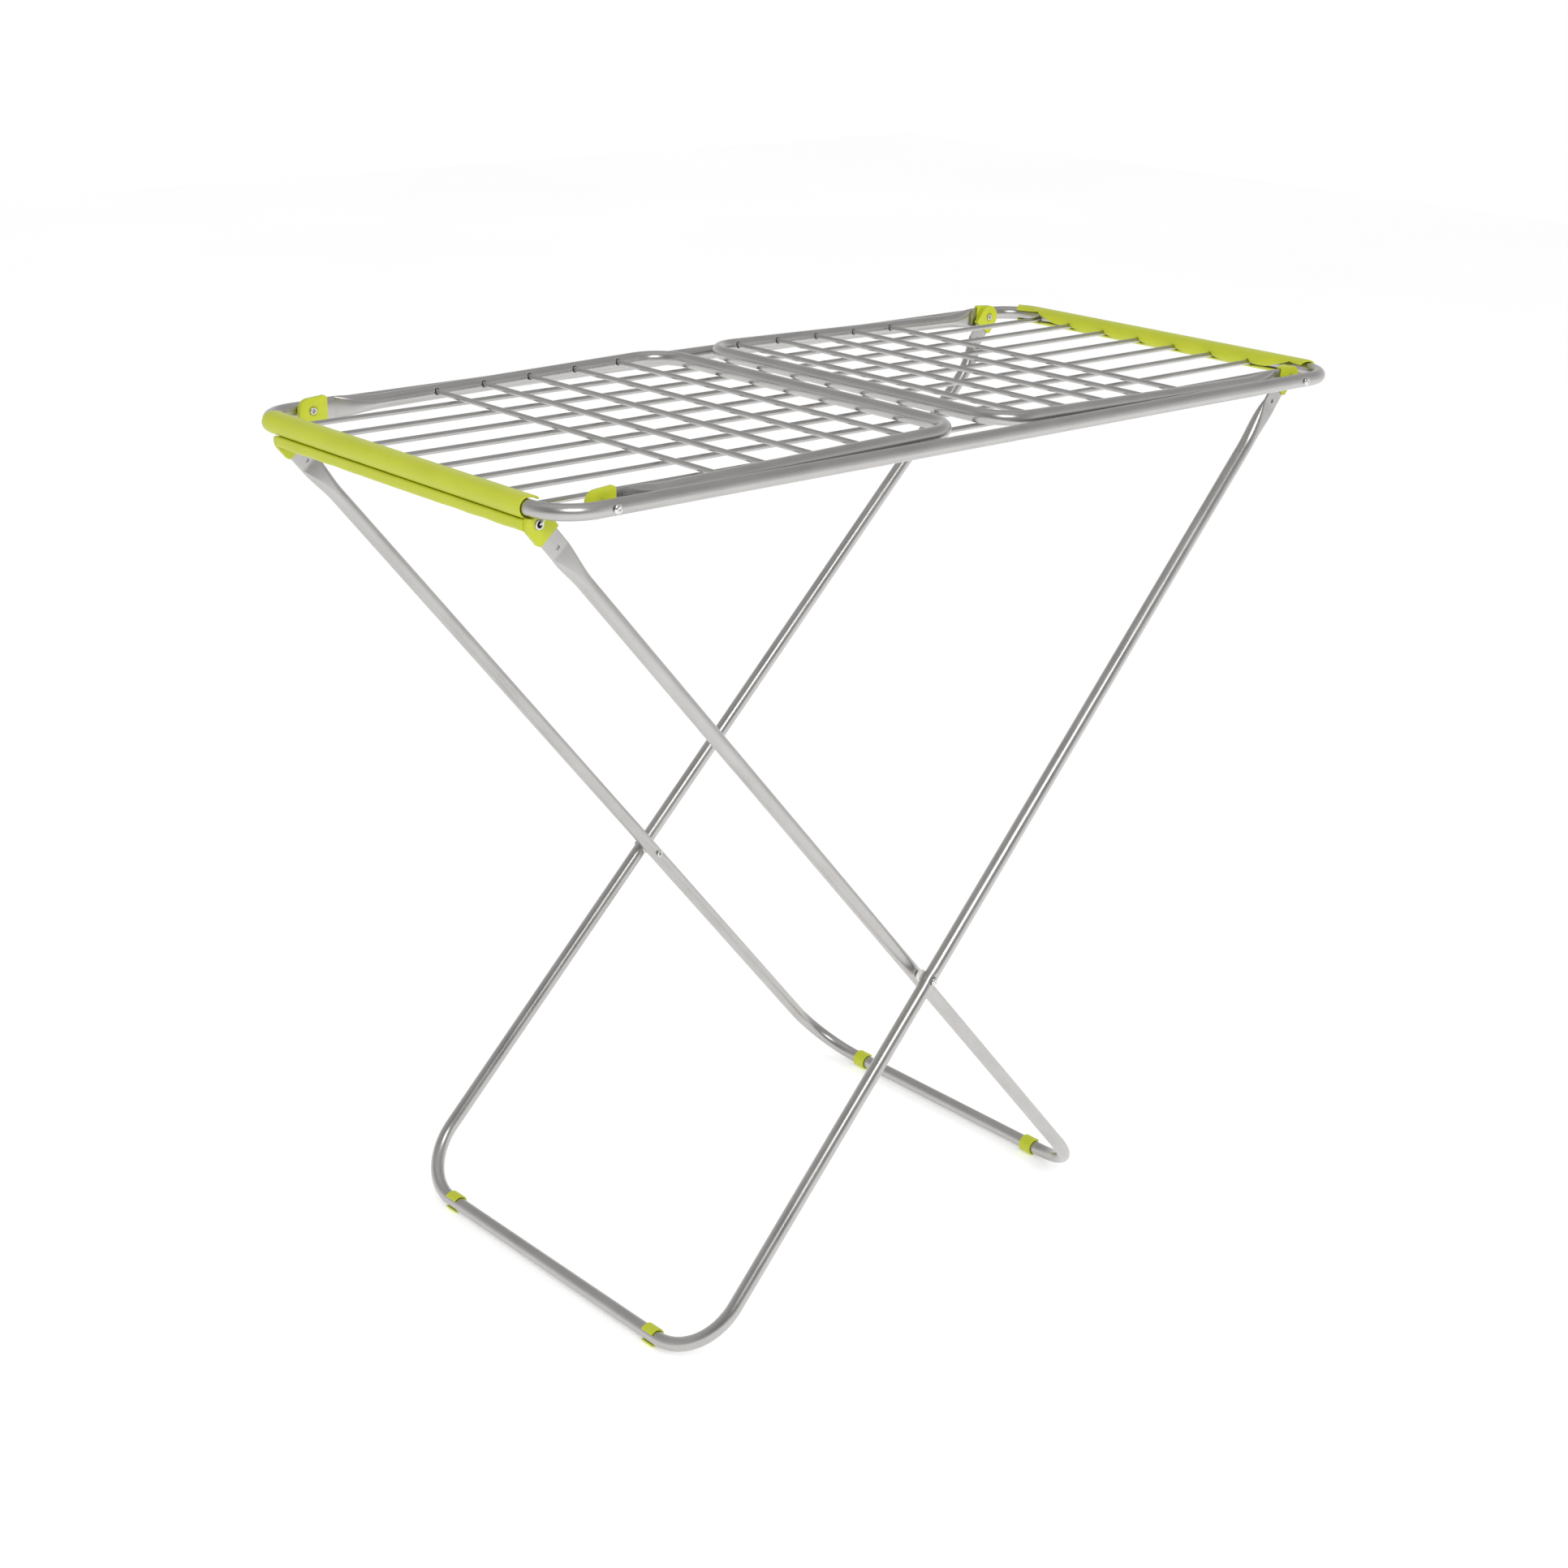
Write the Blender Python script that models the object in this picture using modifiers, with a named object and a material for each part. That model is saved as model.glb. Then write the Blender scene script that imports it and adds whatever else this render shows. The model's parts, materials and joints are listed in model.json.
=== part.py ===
"""Folding clothes drying rack: bed frame with wires, two folding wings, crossed tube legs.

Axes: X runs along the rack (leg B's hook end at -X), Y across it, Z up. The floor is Z = 0 and
X = Y = 0 is the middle of the bed. The leg that reaches the +X pivots is leg A (outer), the leg
that carries the -X end on its hook bar is leg B (inner). "near" is the -Y side, "far" the +Y side.
"""
import math

import bmesh
import bpy
from mathutils import Matrix, Vector

# ---- driving dimensions (metres) ------------------------------------------------------------
GAP = 0.0003                     # clearance between touching pieces
TUBE_R = 0.0086                  # all frame tubes
WIRE_R = 0.0030                  # drying wires
RING = 16                        # sides of a tube
BED_Z = 1.002                    # height of the bed tube's centre line
BED_HALF_X = 0.590               # centre line of the short end tubes
BED_HALF_Y = 0.2707              # centre line of the long tubes
BED_CORNER_R = 0.048
BED_WIRE_Z = BED_Z - 0.0024
BED_WIRES = 8
BED_WIRE_PITCH = 0.060
WIRE_DEPTH = 0.0045              # how deep a wire end sits in its tube

COVER_R = 0.0113                 # outside of the end covers
COVER_T = 0.0022
COVER_ENDS = {"left": (-0.2245, 0.2360), "right": (-0.2330, 0.2510)}   # along the end tube
HOOD = 0.0165                    # how far the covers' top lips reach in from the tube's centre
PIVOT_X = 0.525                  # wing and leg pivots, on the bed tube's centre line
WING_LENGTH = {"left": 0.486, "right": 0.500}    # pivot to the closed end's centre line
WING_Y = BED_HALF_Y - 0.0187     # centre line of the wing's side tubes
WING_CORNER_R = 0.046
WING_WIRES = {"left": (0.154, 0.218, 0.282, 0.347, 0.411),
              "right": (0.191, 0.256, 0.321, 0.386, 0.451)}
WING_WIRE_RISE = 0.0020          # wing wires above their tube's centre line
WING_RISE = BED_WIRE_Z + WIRE_R + TUBE_R + GAP - BED_Z

FLAT_W = 0.0122                  # half width of a flattened tube end
FLAT_T = 0.0014                  # half thickness of a flattened tube end
TIP = 0.0040                     # flattened tube past its rivet's axis
CAP_T = 0.0028                   # half thickness of a plastic end cap
WING_CAP_Y = BED_HALF_Y - TUBE_R - 4 * GAP - CAP_T   # swings clear of the bed's corners
NEAR_CAP_Y = 0.2505              # the near caps sit further down their rivets
WING_CAPS = (-NEAR_CAP_Y, WING_CAP_Y)
LEG_A_CAPS = (2 * CAP_T + GAP - NEAR_CAP_Y, WING_CAP_Y - 2 * CAP_T - GAP)
LEG_B_CAP_Y = 0.2228             # either way from the middle of the hook bar
HOOK_BAR_Y = -0.0067             # the hook end rests a little to the near side

FOOT_Z = 0.0110                  # centre line of the foot bars
CROSS = (-0.0586, 0.3761)        # crossing rivets, X and Z
HOOK = (-0.5825, 0.9860)         # eyelets of leg B, X and Z
LEG_A_FOOT_X = -0.4074
LEG_B_FOOT_X = 0.2528
LEG_A_BEND = (0.4655, 0.9250)    # where leg A's top turns more upright
LEG_B_KNEE = (HOOK[0] + 0.0640, HOOK[1] - 0.0640 * (HOOK[1] - CROSS[1]) / (CROSS[0] - HOOK[0]))
LEG_A_TOP_Y, LEG_A_FOOT_Y = 0.2415, 0.2765
LEG_B_TOP_Y, LEG_B_FOOT_Y = 0.2218, 0.2478
LEG_B_SHIFT = -0.0040            # sideways shift of leg B's tops
LEG_B_TOPS = (LEG_B_SHIFT - LEG_B_TOP_Y, LEG_B_SHIFT + LEG_B_TOP_Y)
LEG_B_CAPS = (HOOK_BAR_Y - LEG_B_CAP_Y, HOOK_BAR_Y + LEG_B_CAP_Y)
LEG_CORNER_R = 0.074
CLIP_LENGTH = 0.018
CLIP_A_Y, CLIP_B_Y = 0.1925, 0.1575

RIVET_R = 0.0022
RIVET_HEAD_R = 0.0050
EYELET_R = 0.0031
EYELET_BORE = 0.0022
HOOK_WIRE_R = 0.0013
SPACER_R = 0.0072

LIME = (0.58, 0.66, 0.03)
ALUMINIUM = (0.62, 0.61, 0.60)


# ---- scene and materials --------------------------------------------------------------------
for old in list(bpy.data.objects):
    bpy.data.objects.remove(old, do_unlink=True)

RACK = bpy.data.collections.new("drying_rack")
CUTTERS = bpy.data.collections.new("cutters")
for made in (RACK, CUTTERS):
    bpy.context.scene.collection.children.link(made)


def paint(obj, color, roughness, metallic):
    mat = bpy.data.materials.new(obj.name + "_material")
    mat.use_nodes = True
    shader = mat.node_tree.nodes["Principled BSDF"]
    shader.inputs["Base Color"].default_value = (*color, 1.0)
    shader.inputs["Roughness"].default_value = roughness
    shader.inputs["Metallic"].default_value = metallic
    obj.data.materials.clear()
    obj.data.materials.append(mat)


def metal(obj):
    paint(obj, ALUMINIUM, 0.32, 1.0)


def plastic(obj):
    paint(obj, LIME, 0.42, 0.0)


Y_AXIS = Vector((0, 1, 0))


# ---- helpers --------------------------------------------------------------------------------
def add_object(name, mesh, cutter=False):
    obj = bpy.data.objects.new(name, mesh)
    (CUTTERS if cutter else RACK).objects.link(obj)
    if cutter:
        obj.hide_render = True
        obj.display_type = 'WIRE'
    return obj


def mesh_object(name, bm, cutter=False):
    bmesh.ops.recalc_face_normals(bm, faces=bm.faces)
    mesh = bpy.data.meshes.new(name)
    bm.to_mesh(mesh)
    bm.free()
    return add_object(name, mesh, cutter)


def curve_to_mesh(name, curve, matrix):
    """Evaluates a curve with its bevel or extrusion into a welded mesh object."""
    holder = add_object(name + "_curve", curve)
    bpy.context.view_layer.update()
    graph = bpy.context.evaluated_depsgraph_get()
    mesh = bpy.data.meshes.new_from_object(holder.evaluated_get(graph))
    mesh.name = name
    mesh.transform(matrix)
    bpy.data.objects.remove(holder, do_unlink=True)
    bm = bmesh.new()
    bm.from_mesh(mesh)
    bmesh.ops.remove_doubles(bm, verts=bm.verts, dist=1e-6)
    bmesh.ops.recalc_face_normals(bm, faces=bm.faces)
    bm.to_mesh(mesh)
    bm.free()
    return add_object(name, mesh)


def rod(name, points, radius, resolution=1):
    """A round rod along a path, with filled ends."""
    curve = bpy.data.curves.new(name, 'CURVE')
    curve.dimensions = '3D'
    curve.bevel_depth = radius
    curve.bevel_resolution = resolution
    curve.use_fill_caps = True
    spline = curve.splines.new('POLY')
    spline.points.add(len(points) - 1)
    for point, place in zip(spline.points, points):
        point.co = (*place, 1.0)
    return curve_to_mesh(name, curve, Matrix.Identity(4))


def extrusion(name, outline, half_depth, y):
    """An outline in X and Z, extruded along Y about the given height in Y."""
    curve = bpy.data.curves.new(name, 'CURVE')
    curve.dimensions = '2D'
    curve.fill_mode = 'BOTH'
    curve.extrude = half_depth
    spline = curve.splines.new('POLY')
    spline.points.add(len(outline) - 1)
    for point, (x, z) in zip(spline.points, outline):
        point.co = (x, z, 0.0, 1.0)
    spline.use_cyclic_u = True
    upright = Matrix.Translation((0, y, 0)) @ Matrix.Rotation(math.pi / 2, 4, 'X')
    return curve_to_mesh(name, curve, upright)


def turned(name, profile, place, outward, steps=20):
    """A turned piece: profile of (radius, height) pairs, its height along +Y or -Y."""
    mesh = bpy.data.meshes.new(name)
    edges = [(i, i + 1) for i in range(len(profile) - 1)]
    mesh.from_pydata([(r, 0, h) for r, h in profile], edges, [])
    obj = add_object(name, mesh)
    screw = obj.modifiers.new("turn", 'SCREW')
    screw.axis = 'Z'
    screw.steps = screw.render_steps = steps
    screw.use_merge_vertices = True
    screw.merge_threshold = 1e-5
    obj.matrix_world = Matrix.Translation(place) @ Matrix.Rotation(-outward * math.pi / 2, 4, 'X')
    return obj


def cylinder_y(bm, x, z, y0, y1, radius, sides=14):
    turn = Matrix.Translation((x, (y0 + y1) / 2, z)) @ Matrix.Rotation(math.pi / 2, 4, 'X')
    bmesh.ops.create_cone(bm, cap_ends=True, segments=sides, radius1=radius, radius2=radius,
                          depth=abs(y1 - y0), matrix=turn)


def cylinder_x(bm, y, z, x0, x1, radius, sides=12):
    turn = Matrix.Translation(((x0 + x1) / 2, y, z)) @ Matrix.Rotation(math.pi / 2, 4, 'Y')
    bmesh.ops.create_cone(bm, cap_ends=True, segments=sides, radius1=radius, radius2=radius,
                          depth=abs(x1 - x0), matrix=turn)


def cut(target, bm, label="holes"):
    """Takes the bodies in bm away from the target."""
    cutter = mesh_object(f"{target.name}_{label}_cutter", bm, cutter=True)
    mod = target.modifiers.new(label, 'BOOLEAN')
    mod.operation = 'DIFFERENCE'
    mod.solver = 'EXACT'
    mod.object = cutter


def arc(centre, u, v, radius, start, end, count):
    """Points of an arc about centre in the plane of the unit vectors u and v."""
    points = []
    for i in range(count + 1):
        t = start + (end - start) * i / count
        points.append(centre + radius * (math.cos(t) * u + math.sin(t) * v))
    return points


def rounded_path(corners, radius, count):
    """Turns a path's inner corners into arcs of the given radius."""
    path = [corners[0]]
    for before, corner, after in zip(corners, corners[1:], corners[2:]):
        a = (before - corner).normalized()
        b = (after - corner).normalized()
        half = a.angle(b) / 2
        centre = corner + (a + b).normalized() * (radius / math.sin(half))
        first = corner + a * (radius / math.tan(half))
        u = (first - centre).normalized()
        last = corner + b * (radius / math.tan(half))
        w = (last - centre).normalized()
        v = (w - u * w.dot(u)).normalized()
        path += arc(centre, u, v, radius, 0.0, u.angle(w), count)
    return path + [corners[-1]]


def tube_loft(name, stations, closed=False):
    """Lofts a tube through stations of (centre, half across, half along normal, normal).

    The normal stands square on the plane in which the tube is bent. A flattened end is thin
    across and wide along the normal.
    """
    bm = bmesh.new()
    rings = []
    count = len(stations)
    for i, (centre, across, upright, normal) in enumerate(stations):
        ahead = stations[(i + 1) % count if closed else min(i + 1, count - 1)][0]
        behind = stations[i - 1 if closed else max(i - 1, 0)][0]
        if closed or 0 < i < count - 1:
            along = ((ahead - centre).normalized() + (centre - behind).normalized()).normalized()
        else:
            along = (ahead - behind).normalized()
        up_axis = (normal - along * normal.dot(along)).normalized()
        side_axis = along.cross(up_axis)
        power = 0.5 + 0.5 * min(across, upright) / max(across, upright)
        ring = []
        for k in range(RING):
            t = 2 * math.pi * (k + 0.5) / RING
            c, s = math.cos(t), math.sin(t)
            c = math.copysign(abs(c) ** power, c)
            s = math.copysign(abs(s) ** power, s)
            ring.append(bm.verts.new(centre + across * c * side_axis + upright * s * up_axis))
        rings.append(ring)
    pairs = list(zip(rings, rings[1:]))
    if closed:
        pairs.append((rings[-1], rings[0]))
    for low, high in pairs:
        for k in range(RING):
            j = (k + 1) % RING
            bm.faces.new((low[k], low[j], high[j], high[k]))
    if not closed:
        bm.faces.new(rings[0])
        bm.faces.new(rings[-1])
    return mesh_object(name, bm)


def flat_blend(t):
    """Half width and half thickness between a flattened end (0) and the round tube (1)."""
    s = t * t * (3 - 2 * t)
    return FLAT_W + (TUBE_R - FLAT_W) * s, FLAT_T + (TUBE_R - FLAT_T) * s ** 0.8


def flattened_end(tip, bend, flat_y, flat_length, blend_length, normal, steps=6):
    """Stations from a flattened tip at Y = flat_y to the round tube, towards the point bend."""
    along = (bend - tip).normalized()
    stations = []
    for t in [-1.0] + [i / steps for i in range(steps + 1)]:
        centre = tip + along * (flat_length + blend_length * t if t >= 0 else 0.0)
        width, thick = flat_blend(max(t, 0.0))
        s = max(t, 0.0) ** 2 * (3 - 2 * max(t, 0.0))
        centre.y = flat_y + (centre.y - flat_y) * s
        stations.append((centre, thick, width, normal))
    return stations


# ---- bed frame ------------------------------------------------------------------------------
def build_bed():
    x, y, r, z = BED_HALF_X, BED_HALF_Y, BED_CORNER_R, BED_Z
    ux, uy = Vector((1, 0, 0)), Vector((0, 1, 0))
    path = []
    for sx, sy, start in ((1, 1, 0), (-1, 1, 90), (-1, -1, 180), (1, -1, 270)):
        centre = Vector((sx * (x - r), sy * (y - r), z))
        path += arc(centre, ux, uy, r, math.radians(start), math.radians(start + 90), 7)
    up = Vector((0, 0, 1))
    frame = tube_loft("bed_frame_tube", [(p, TUBE_R, TUBE_R, up) for p in path], closed=True)
    bm = bmesh.new()
    wire_ys = [(i - (BED_WIRES - 1) / 2) * BED_WIRE_PITCH for i in range(BED_WIRES)]
    inner = BED_HALF_X - TUBE_R + WIRE_DEPTH
    for wire_y in wire_ys:
        for side in (-1, 1):
            cylinder_x(bm, wire_y, BED_WIRE_Z, side * (inner - 0.012), side * (inner + GAP),
                       WIRE_R + GAP)
    for px in (-PIVOT_X, PIVOT_X):
        for side in (-1, 1):
            cylinder_y(bm, px, BED_Z, side * (y - 0.012), side * (y + 0.012), RIVET_R + GAP)
    cut(frame, bm)
    metal(frame)
    for number, wire_y in enumerate(wire_ys, 1):
        wire = rod(f"bed_wire_{number}", [Vector((-inner, wire_y, BED_WIRE_Z)),
                                          Vector((inner, wire_y, BED_WIRE_Z))], WIRE_R, 2)
        metal(wire)


def cover_stations(low, high):
    """Places along an end cover: eight to every wire interval and a few at each end."""
    last = BED_WIRE_PITCH * (BED_WIRES - 1) / 2
    steps = 4 * (BED_WIRES - 1)
    inner = [last * i / steps for i in range(-steps, steps + 1)]
    beyond = (0.25, 0.5, 0.75, 1.0)
    return ([-last + (low + last) * t for t in reversed(beyond)] + inner
            + [last + (high - last) * t for t in beyond])


def on_end_tube(s, side):
    """Centre of the end tube at the running place s, and its inward direction, round the corner."""
    over = max(abs(s) - (BED_HALF_Y - BED_CORNER_R), 0.0)
    turn = over / BED_CORNER_R
    x = BED_HALF_X - BED_CORNER_R * (1 - math.cos(turn))
    y = abs(s) - over + BED_CORNER_R * math.sin(turn)
    way = math.copysign(1.0, s)
    return (Vector((side * x, way * y, BED_Z)),
            Vector((-side * math.cos(turn), -way * math.sin(turn), 0)))


def lip_angles(place):
    """Where hood and lower lip end at a running place, in degrees round the tube from inward.

    Both close in between the wires and step back at each wire. The hood ends just above the
    inner wires and stays clear of the outermost ones.
    """
    beyond = abs(place) / BED_WIRE_PITCH - (BED_WIRES - 1) / 2     # 0 at the outermost wires
    bulge = abs(math.sin(math.pi * beyond)) ** 0.4
    at_wire = 14 + 41 * min(max(beyond + 1, 0.0), 1.0)
    if beyond > 0:
        return at_wire - 20 * bulge, 302 + 6 * bulge
    return at_wire - 39 * bulge, 302 + 18 * bulge


def build_end_cover(name, side):
    """Clip-on cover: an open ring around the end tube with a hood over its inner face."""
    bm = bmesh.new()
    rows = []
    for place in cover_stations(*COVER_ENDS["left" if side < 0 else "right"]):
        centre, inward = on_end_tube(place, side)
        lip, low_lip = lip_angles(place)
        turns = [lip + (90 - lip) * k / 5 for k in range(5)] + [90 + 21 * k for k in range(11)]
        turns.append(low_lip)
        row = []
        for turn in turns:
            c, s = math.cos(math.radians(turn)), math.sin(math.radians(turn))
            if turn < 90:
                c, s = HOOD / COVER_R * c ** 0.75, math.copysign(abs(s) ** 0.75, s)
            row.append(bm.verts.new(centre + COVER_R * (c * inward + Vector((0, 0, s)))))
        rows.append(row)
    for low, high in zip(rows, rows[1:]):
        for k in range(len(low) - 1):
            bm.faces.new((low[k], low[k + 1], high[k + 1], high[k]))
    bm.normal_update()
    if next(iter(bm.faces)).normal.z < 0:
        bmesh.ops.reverse_faces(bm, faces=bm.faces)
    mesh = bpy.data.meshes.new(name)
    bm.to_mesh(mesh)
    bm.free()
    cover = add_object(name, mesh)
    shell = cover.modifiers.new("wall", 'SOLIDIFY')
    shell.thickness = COVER_T
    shell.offset = -1.0
    plastic(cover)


# ---- end caps -------------------------------------------------------------------------------
def wing_cap_outline():
    """Cap seen with the wing running to +X from the rivet at the origin."""
    r = 0.0165
    points = [(r * math.cos(math.radians(t)) + 0.0005, r * math.sin(math.radians(t)) * 0.86)
              for t in (180, 160, 140, 120, 104)]
    points += [(0.0150, 0.0152), (0.0172, 0.0140), (0.0180, 0.0118), (0.0180, -0.0138),
               (-0.0090, -0.0138), (-0.0135, -0.0110), (-0.0158, -0.0055)]
    return points


def leg_cap_outline(point_side):
    """Cap seen with the tube leaving to -Z from the rivet at the origin; pocket mouth below."""
    r = 0.0148
    points = [(r * math.cos(math.radians(t)), r * math.sin(math.radians(t)))
              for t in (0, 20, 40, 60, 80, 100, 120, 140, 160, 180)]
    points += [(-0.0148, -0.0160), (-0.0132, -0.0182), (0.0118, -0.0182), (0.0148, -0.0150)]
    return [(point_side * x, z) for x, z in points]


def place_outline(outline, origin, angle):
    c, s = math.cos(angle), math.sin(angle)
    return [(origin[0] + x * c - z * s, origin[1] + x * s + z * c) for x, z in outline]


def pocket_cutter(bm, origin, angle, y, reach, mouth):
    """A flat pocket for a flattened tube end, from reach past the rivet out to the mouth."""
    length = reach + mouth
    middle = (mouth - reach) / 2
    turn = (Matrix.Translation((origin[0], y, origin[1])) @ Matrix.Rotation(-angle, 4, 'Y')
            @ Matrix.Translation((middle, 0, 0)))
    size = Matrix.Diagonal((length, 2 * (FLAT_T + GAP), 2 * (FLAT_W + GAP), 1.0))
    bmesh.ops.create_cube(bm, size=1.0, matrix=turn @ size)


def build_cap(name, outline, origin, angle, tube_angle, y):
    """One plastic end cap. tube_angle is the direction in which the tube leaves the rivet."""
    cap = extrusion(name, place_outline(outline, origin, angle), CAP_T, y)
    bm = bmesh.new()
    pocket_cutter(bm, origin, tube_angle, y, TIP + GAP, 0.030)
    cut(cap, bm, "pocket")
    bm = bmesh.new()
    cylinder_y(bm, origin[0], origin[1], y - 0.01, y + 0.01, RIVET_R + GAP, 16)
    cut(cap, bm, "bore")
    plastic(cap)


# ---- wings ----------------------------------------------------------------------------------
def build_wing(name, side):
    """side -1 is the wing pivoted at -X, reaching towards the middle; +1 its opposite."""
    which = "left" if side < 0 else "right"
    tilt = math.asin(WING_RISE / WING_LENGTH[which])
    pivot = Vector((side * PIVOT_X, 0, BED_Z))
    reach = Vector((-side * math.cos(tilt), 0, math.sin(tilt)))
    closed = pivot + reach * WING_LENGTH[which]
    corners = [pivot + reach * 0.100 + Vector((0, -WING_Y, 0)), closed + Vector((0, -WING_Y, 0)),
               closed + Vector((0, WING_Y, 0)), pivot + reach * 0.100 + Vector((0, WING_Y, 0))]
    up = Vector((side * math.sin(tilt), 0, math.cos(tilt)))
    middle = [(p, TUBE_R, TUBE_R, up) for p in rounded_path(corners, WING_CORNER_R, 7)]
    ends = []
    for edge, bend, cap_y in zip((-1, 1), (corners[0], corners[-1]), WING_CAPS):
        tip = pivot - reach * TIP + Vector((0, edge * WING_Y, 0))
        ends.append(flattened_end(tip, bend, cap_y, 0.032, 0.045, up))
    tube = tube_loft(name + "_tube", ends[0] + middle + ends[1][::-1])
    bm = bmesh.new()
    inner = WING_Y - TUBE_R + WIRE_DEPTH
    wires = [pivot + reach * d + up * WING_WIRE_RISE for d in WING_WIRES[which]]
    for place in wires:
        for edge in (-1, 1):
            cylinder_y(bm, place.x, place.z, edge * (inner - 0.012), edge * (inner + GAP),
                       WIRE_R + GAP, 12)
    for cap_y in WING_CAPS:
        cylinder_y(bm, pivot.x, pivot.z, cap_y - 0.006, cap_y + 0.006, RIVET_R + GAP)
    cut(tube, bm)
    metal(tube)
    for number, place in enumerate(wires, 1):
        wire = rod(f"{name}_wire_{number}", [Vector((place.x, -inner, place.z)),
                                             Vector((place.x, inner, place.z))], WIRE_R, 2)
        metal(wire)
    angle = math.atan2(reach.z, reach.x)
    outline = wing_cap_outline()
    if side > 0:
        outline = [(-x, z) for x, z in outline]
    for cap_y, word in zip(WING_CAPS, ("near", "far")):
        build_cap(f"{name}_cap_{word}", outline, (pivot.x, pivot.z), -side * tilt, angle, cap_y)


# ---- legs -----------------------------------------------------------------------------------
def build_leg(name, top, knee, foot_x, top_ys, foot_y, cap_ys, bore_r, hole_at):
    """A U-shaped leg: flattened tops at both sides, joined by the foot bar on the floor.

    top_ys and cap_ys give the Y of the near and the far top tube and of their flattened ends.
    """
    foot = Vector((foot_x, 0, FOOT_Z))
    knee = Vector((knee[0], 0, knee[1]))
    rivet = Vector((top[0], 0, top[1]))
    up_dir = (rivet - knee).normalized()
    near_side = [knee + Vector((0, top_ys[0], 0)), foot + Vector((0, -foot_y, 0))]
    far_side = [foot + Vector((0, foot_y, 0)), knee + Vector((0, top_ys[1], 0))]
    path = rounded_path(near_side + far_side, LEG_CORNER_R, 7)
    out = (foot - knee).normalized().cross(Y_AXIS).normalized()
    ends = []
    for top_y, cap_y in zip(top_ys, cap_ys):
        tip = rivet + up_dir * TIP + Vector((0, top_y, 0))
        ends.append(flattened_end(tip, knee + Vector((0, top_y, 0)), cap_y, 0.038, 0.042, out))
    middle = [(p, TUBE_R, TUBE_R, out) for p in path]
    tube = tube_loft(name + "_tube", ends[0] + middle + ends[1][::-1])
    bm = bmesh.new()
    drill = rivet - up_dir * hole_at
    for edge, top_y, cap_y in zip((-1, 1), top_ys, cap_ys):
        cylinder_y(bm, top[0], top[1], cap_y - 0.006, cap_y + 0.006, bore_r)
        cylinder_y(bm, drill.x, drill.z, cap_y - 0.006, cap_y + 0.006, 0.0019, 12)
        cross_y = side_y_at(knee.z, top_y, edge * foot_y)
        cylinder_y(bm, CROSS[0], CROSS[1], cross_y - 0.014, cross_y + 0.014, RIVET_R + GAP)
    cut(tube, bm)
    metal(tube)


def side_y_at(knee_z, top_y, foot_y):
    """Y of a leg's side tube where it passes the crossing."""
    t = (CROSS[1] - FOOT_Z) / (knee_z - FOOT_Z)
    return foot_y + (top_y - foot_y) * t


def clip_outline(x, side):
    """Open ring with a flat foot; side is the direction its mouth faces."""
    outer, inner = TUBE_R + GAP + 0.0024, TUBE_R + GAP
    half_mouth = math.radians(48)
    points = []
    count = 20
    for i in range(count + 1):
        t = half_mouth + (2 * math.pi - 2 * half_mouth) * i / count
        px, pz = outer * math.cos(t), outer * math.sin(t)
        points.append((x + side * px, max(FOOT_Z + pz, 0.0)))
    for i in range(count + 1):
        t = 2 * math.pi - half_mouth - (2 * math.pi - 2 * half_mouth) * i / count
        points.append((x + side * inner * math.cos(t), FOOT_Z + inner * math.sin(t)))
    return points


def build_legs():
    pivot = (PIVOT_X, BED_Z)
    build_leg("leg_a", pivot, LEG_A_BEND, LEG_A_FOOT_X, (-LEG_A_TOP_Y, LEG_A_TOP_Y), LEG_A_FOOT_Y,
              LEG_A_CAPS, RIVET_R + GAP, 0.034)
    build_leg("leg_b", HOOK, LEG_B_KNEE, LEG_B_FOOT_X, LEG_B_TOPS, LEG_B_FOOT_Y, LEG_B_CAPS,
              EYELET_R + GAP, 0.034)
    down_a = math.atan2(LEG_A_BEND[1] - pivot[1], LEG_A_BEND[0] - pivot[0])
    down_b = math.atan2(LEG_B_KNEE[1] - HOOK[1], LEG_B_KNEE[0] - HOOK[0])
    for edge, word, cap_y in ((-1, "near", LEG_A_CAPS[0]), (1, "far", LEG_A_CAPS[1])):
        build_cap(f"leg_a_cap_{word}", leg_cap_outline(1), pivot, down_a + math.pi / 2, down_a,
                  cap_y)
        build_hook_cap(f"leg_b_cap_{word}", down_b, HOOK_BAR_Y + edge * LEG_B_CAP_Y)
        for leg, x, clip_y, side in (("leg_a", LEG_A_FOOT_X, CLIP_A_Y, 1),
                                     ("leg_b", LEG_B_FOOT_X, CLIP_B_Y, -1)):
            clip = extrusion(f"{leg}_foot_{word}", clip_outline(x, side), CLIP_LENGTH / 2,
                             edge * clip_y)
            plastic(clip)


def build_hook_cap(name, down, y):
    """Leg B's cap: its top is cut level, just under the bed tube or the cover around it."""
    above = COVER_R if COVER_ENDS["left"][0] < y < COVER_ENDS["left"][1] else TUBE_R
    level = BED_Z - above - 2 * GAP
    corner_x = -BED_HALF_X + 0.0003
    outline = place_outline([(-x, z) for x, z in leg_cap_outline(1)], HOOK, down + math.pi / 2)
    outline = [(x, min(z, level) if x < corner_x else z) for x, z in outline]
    cap = extrusion(name, outline, CAP_T, y)
    bm = bmesh.new()
    pocket_cutter(bm, HOOK, down, y, TIP + GAP, 0.030)
    cut(cap, bm, "pocket")
    bm = bmesh.new()
    cylinder_y(bm, HOOK[0], HOOK[1], y - 0.01, y + 0.01, EYELET_R + GAP, 16)
    cylinder_y(bm, corner_x, BED_Z, y - 0.01, y + 0.01, above + 3 * GAP, 32)
    cut(cap, bm, "bore")
    plastic(cap)


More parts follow.
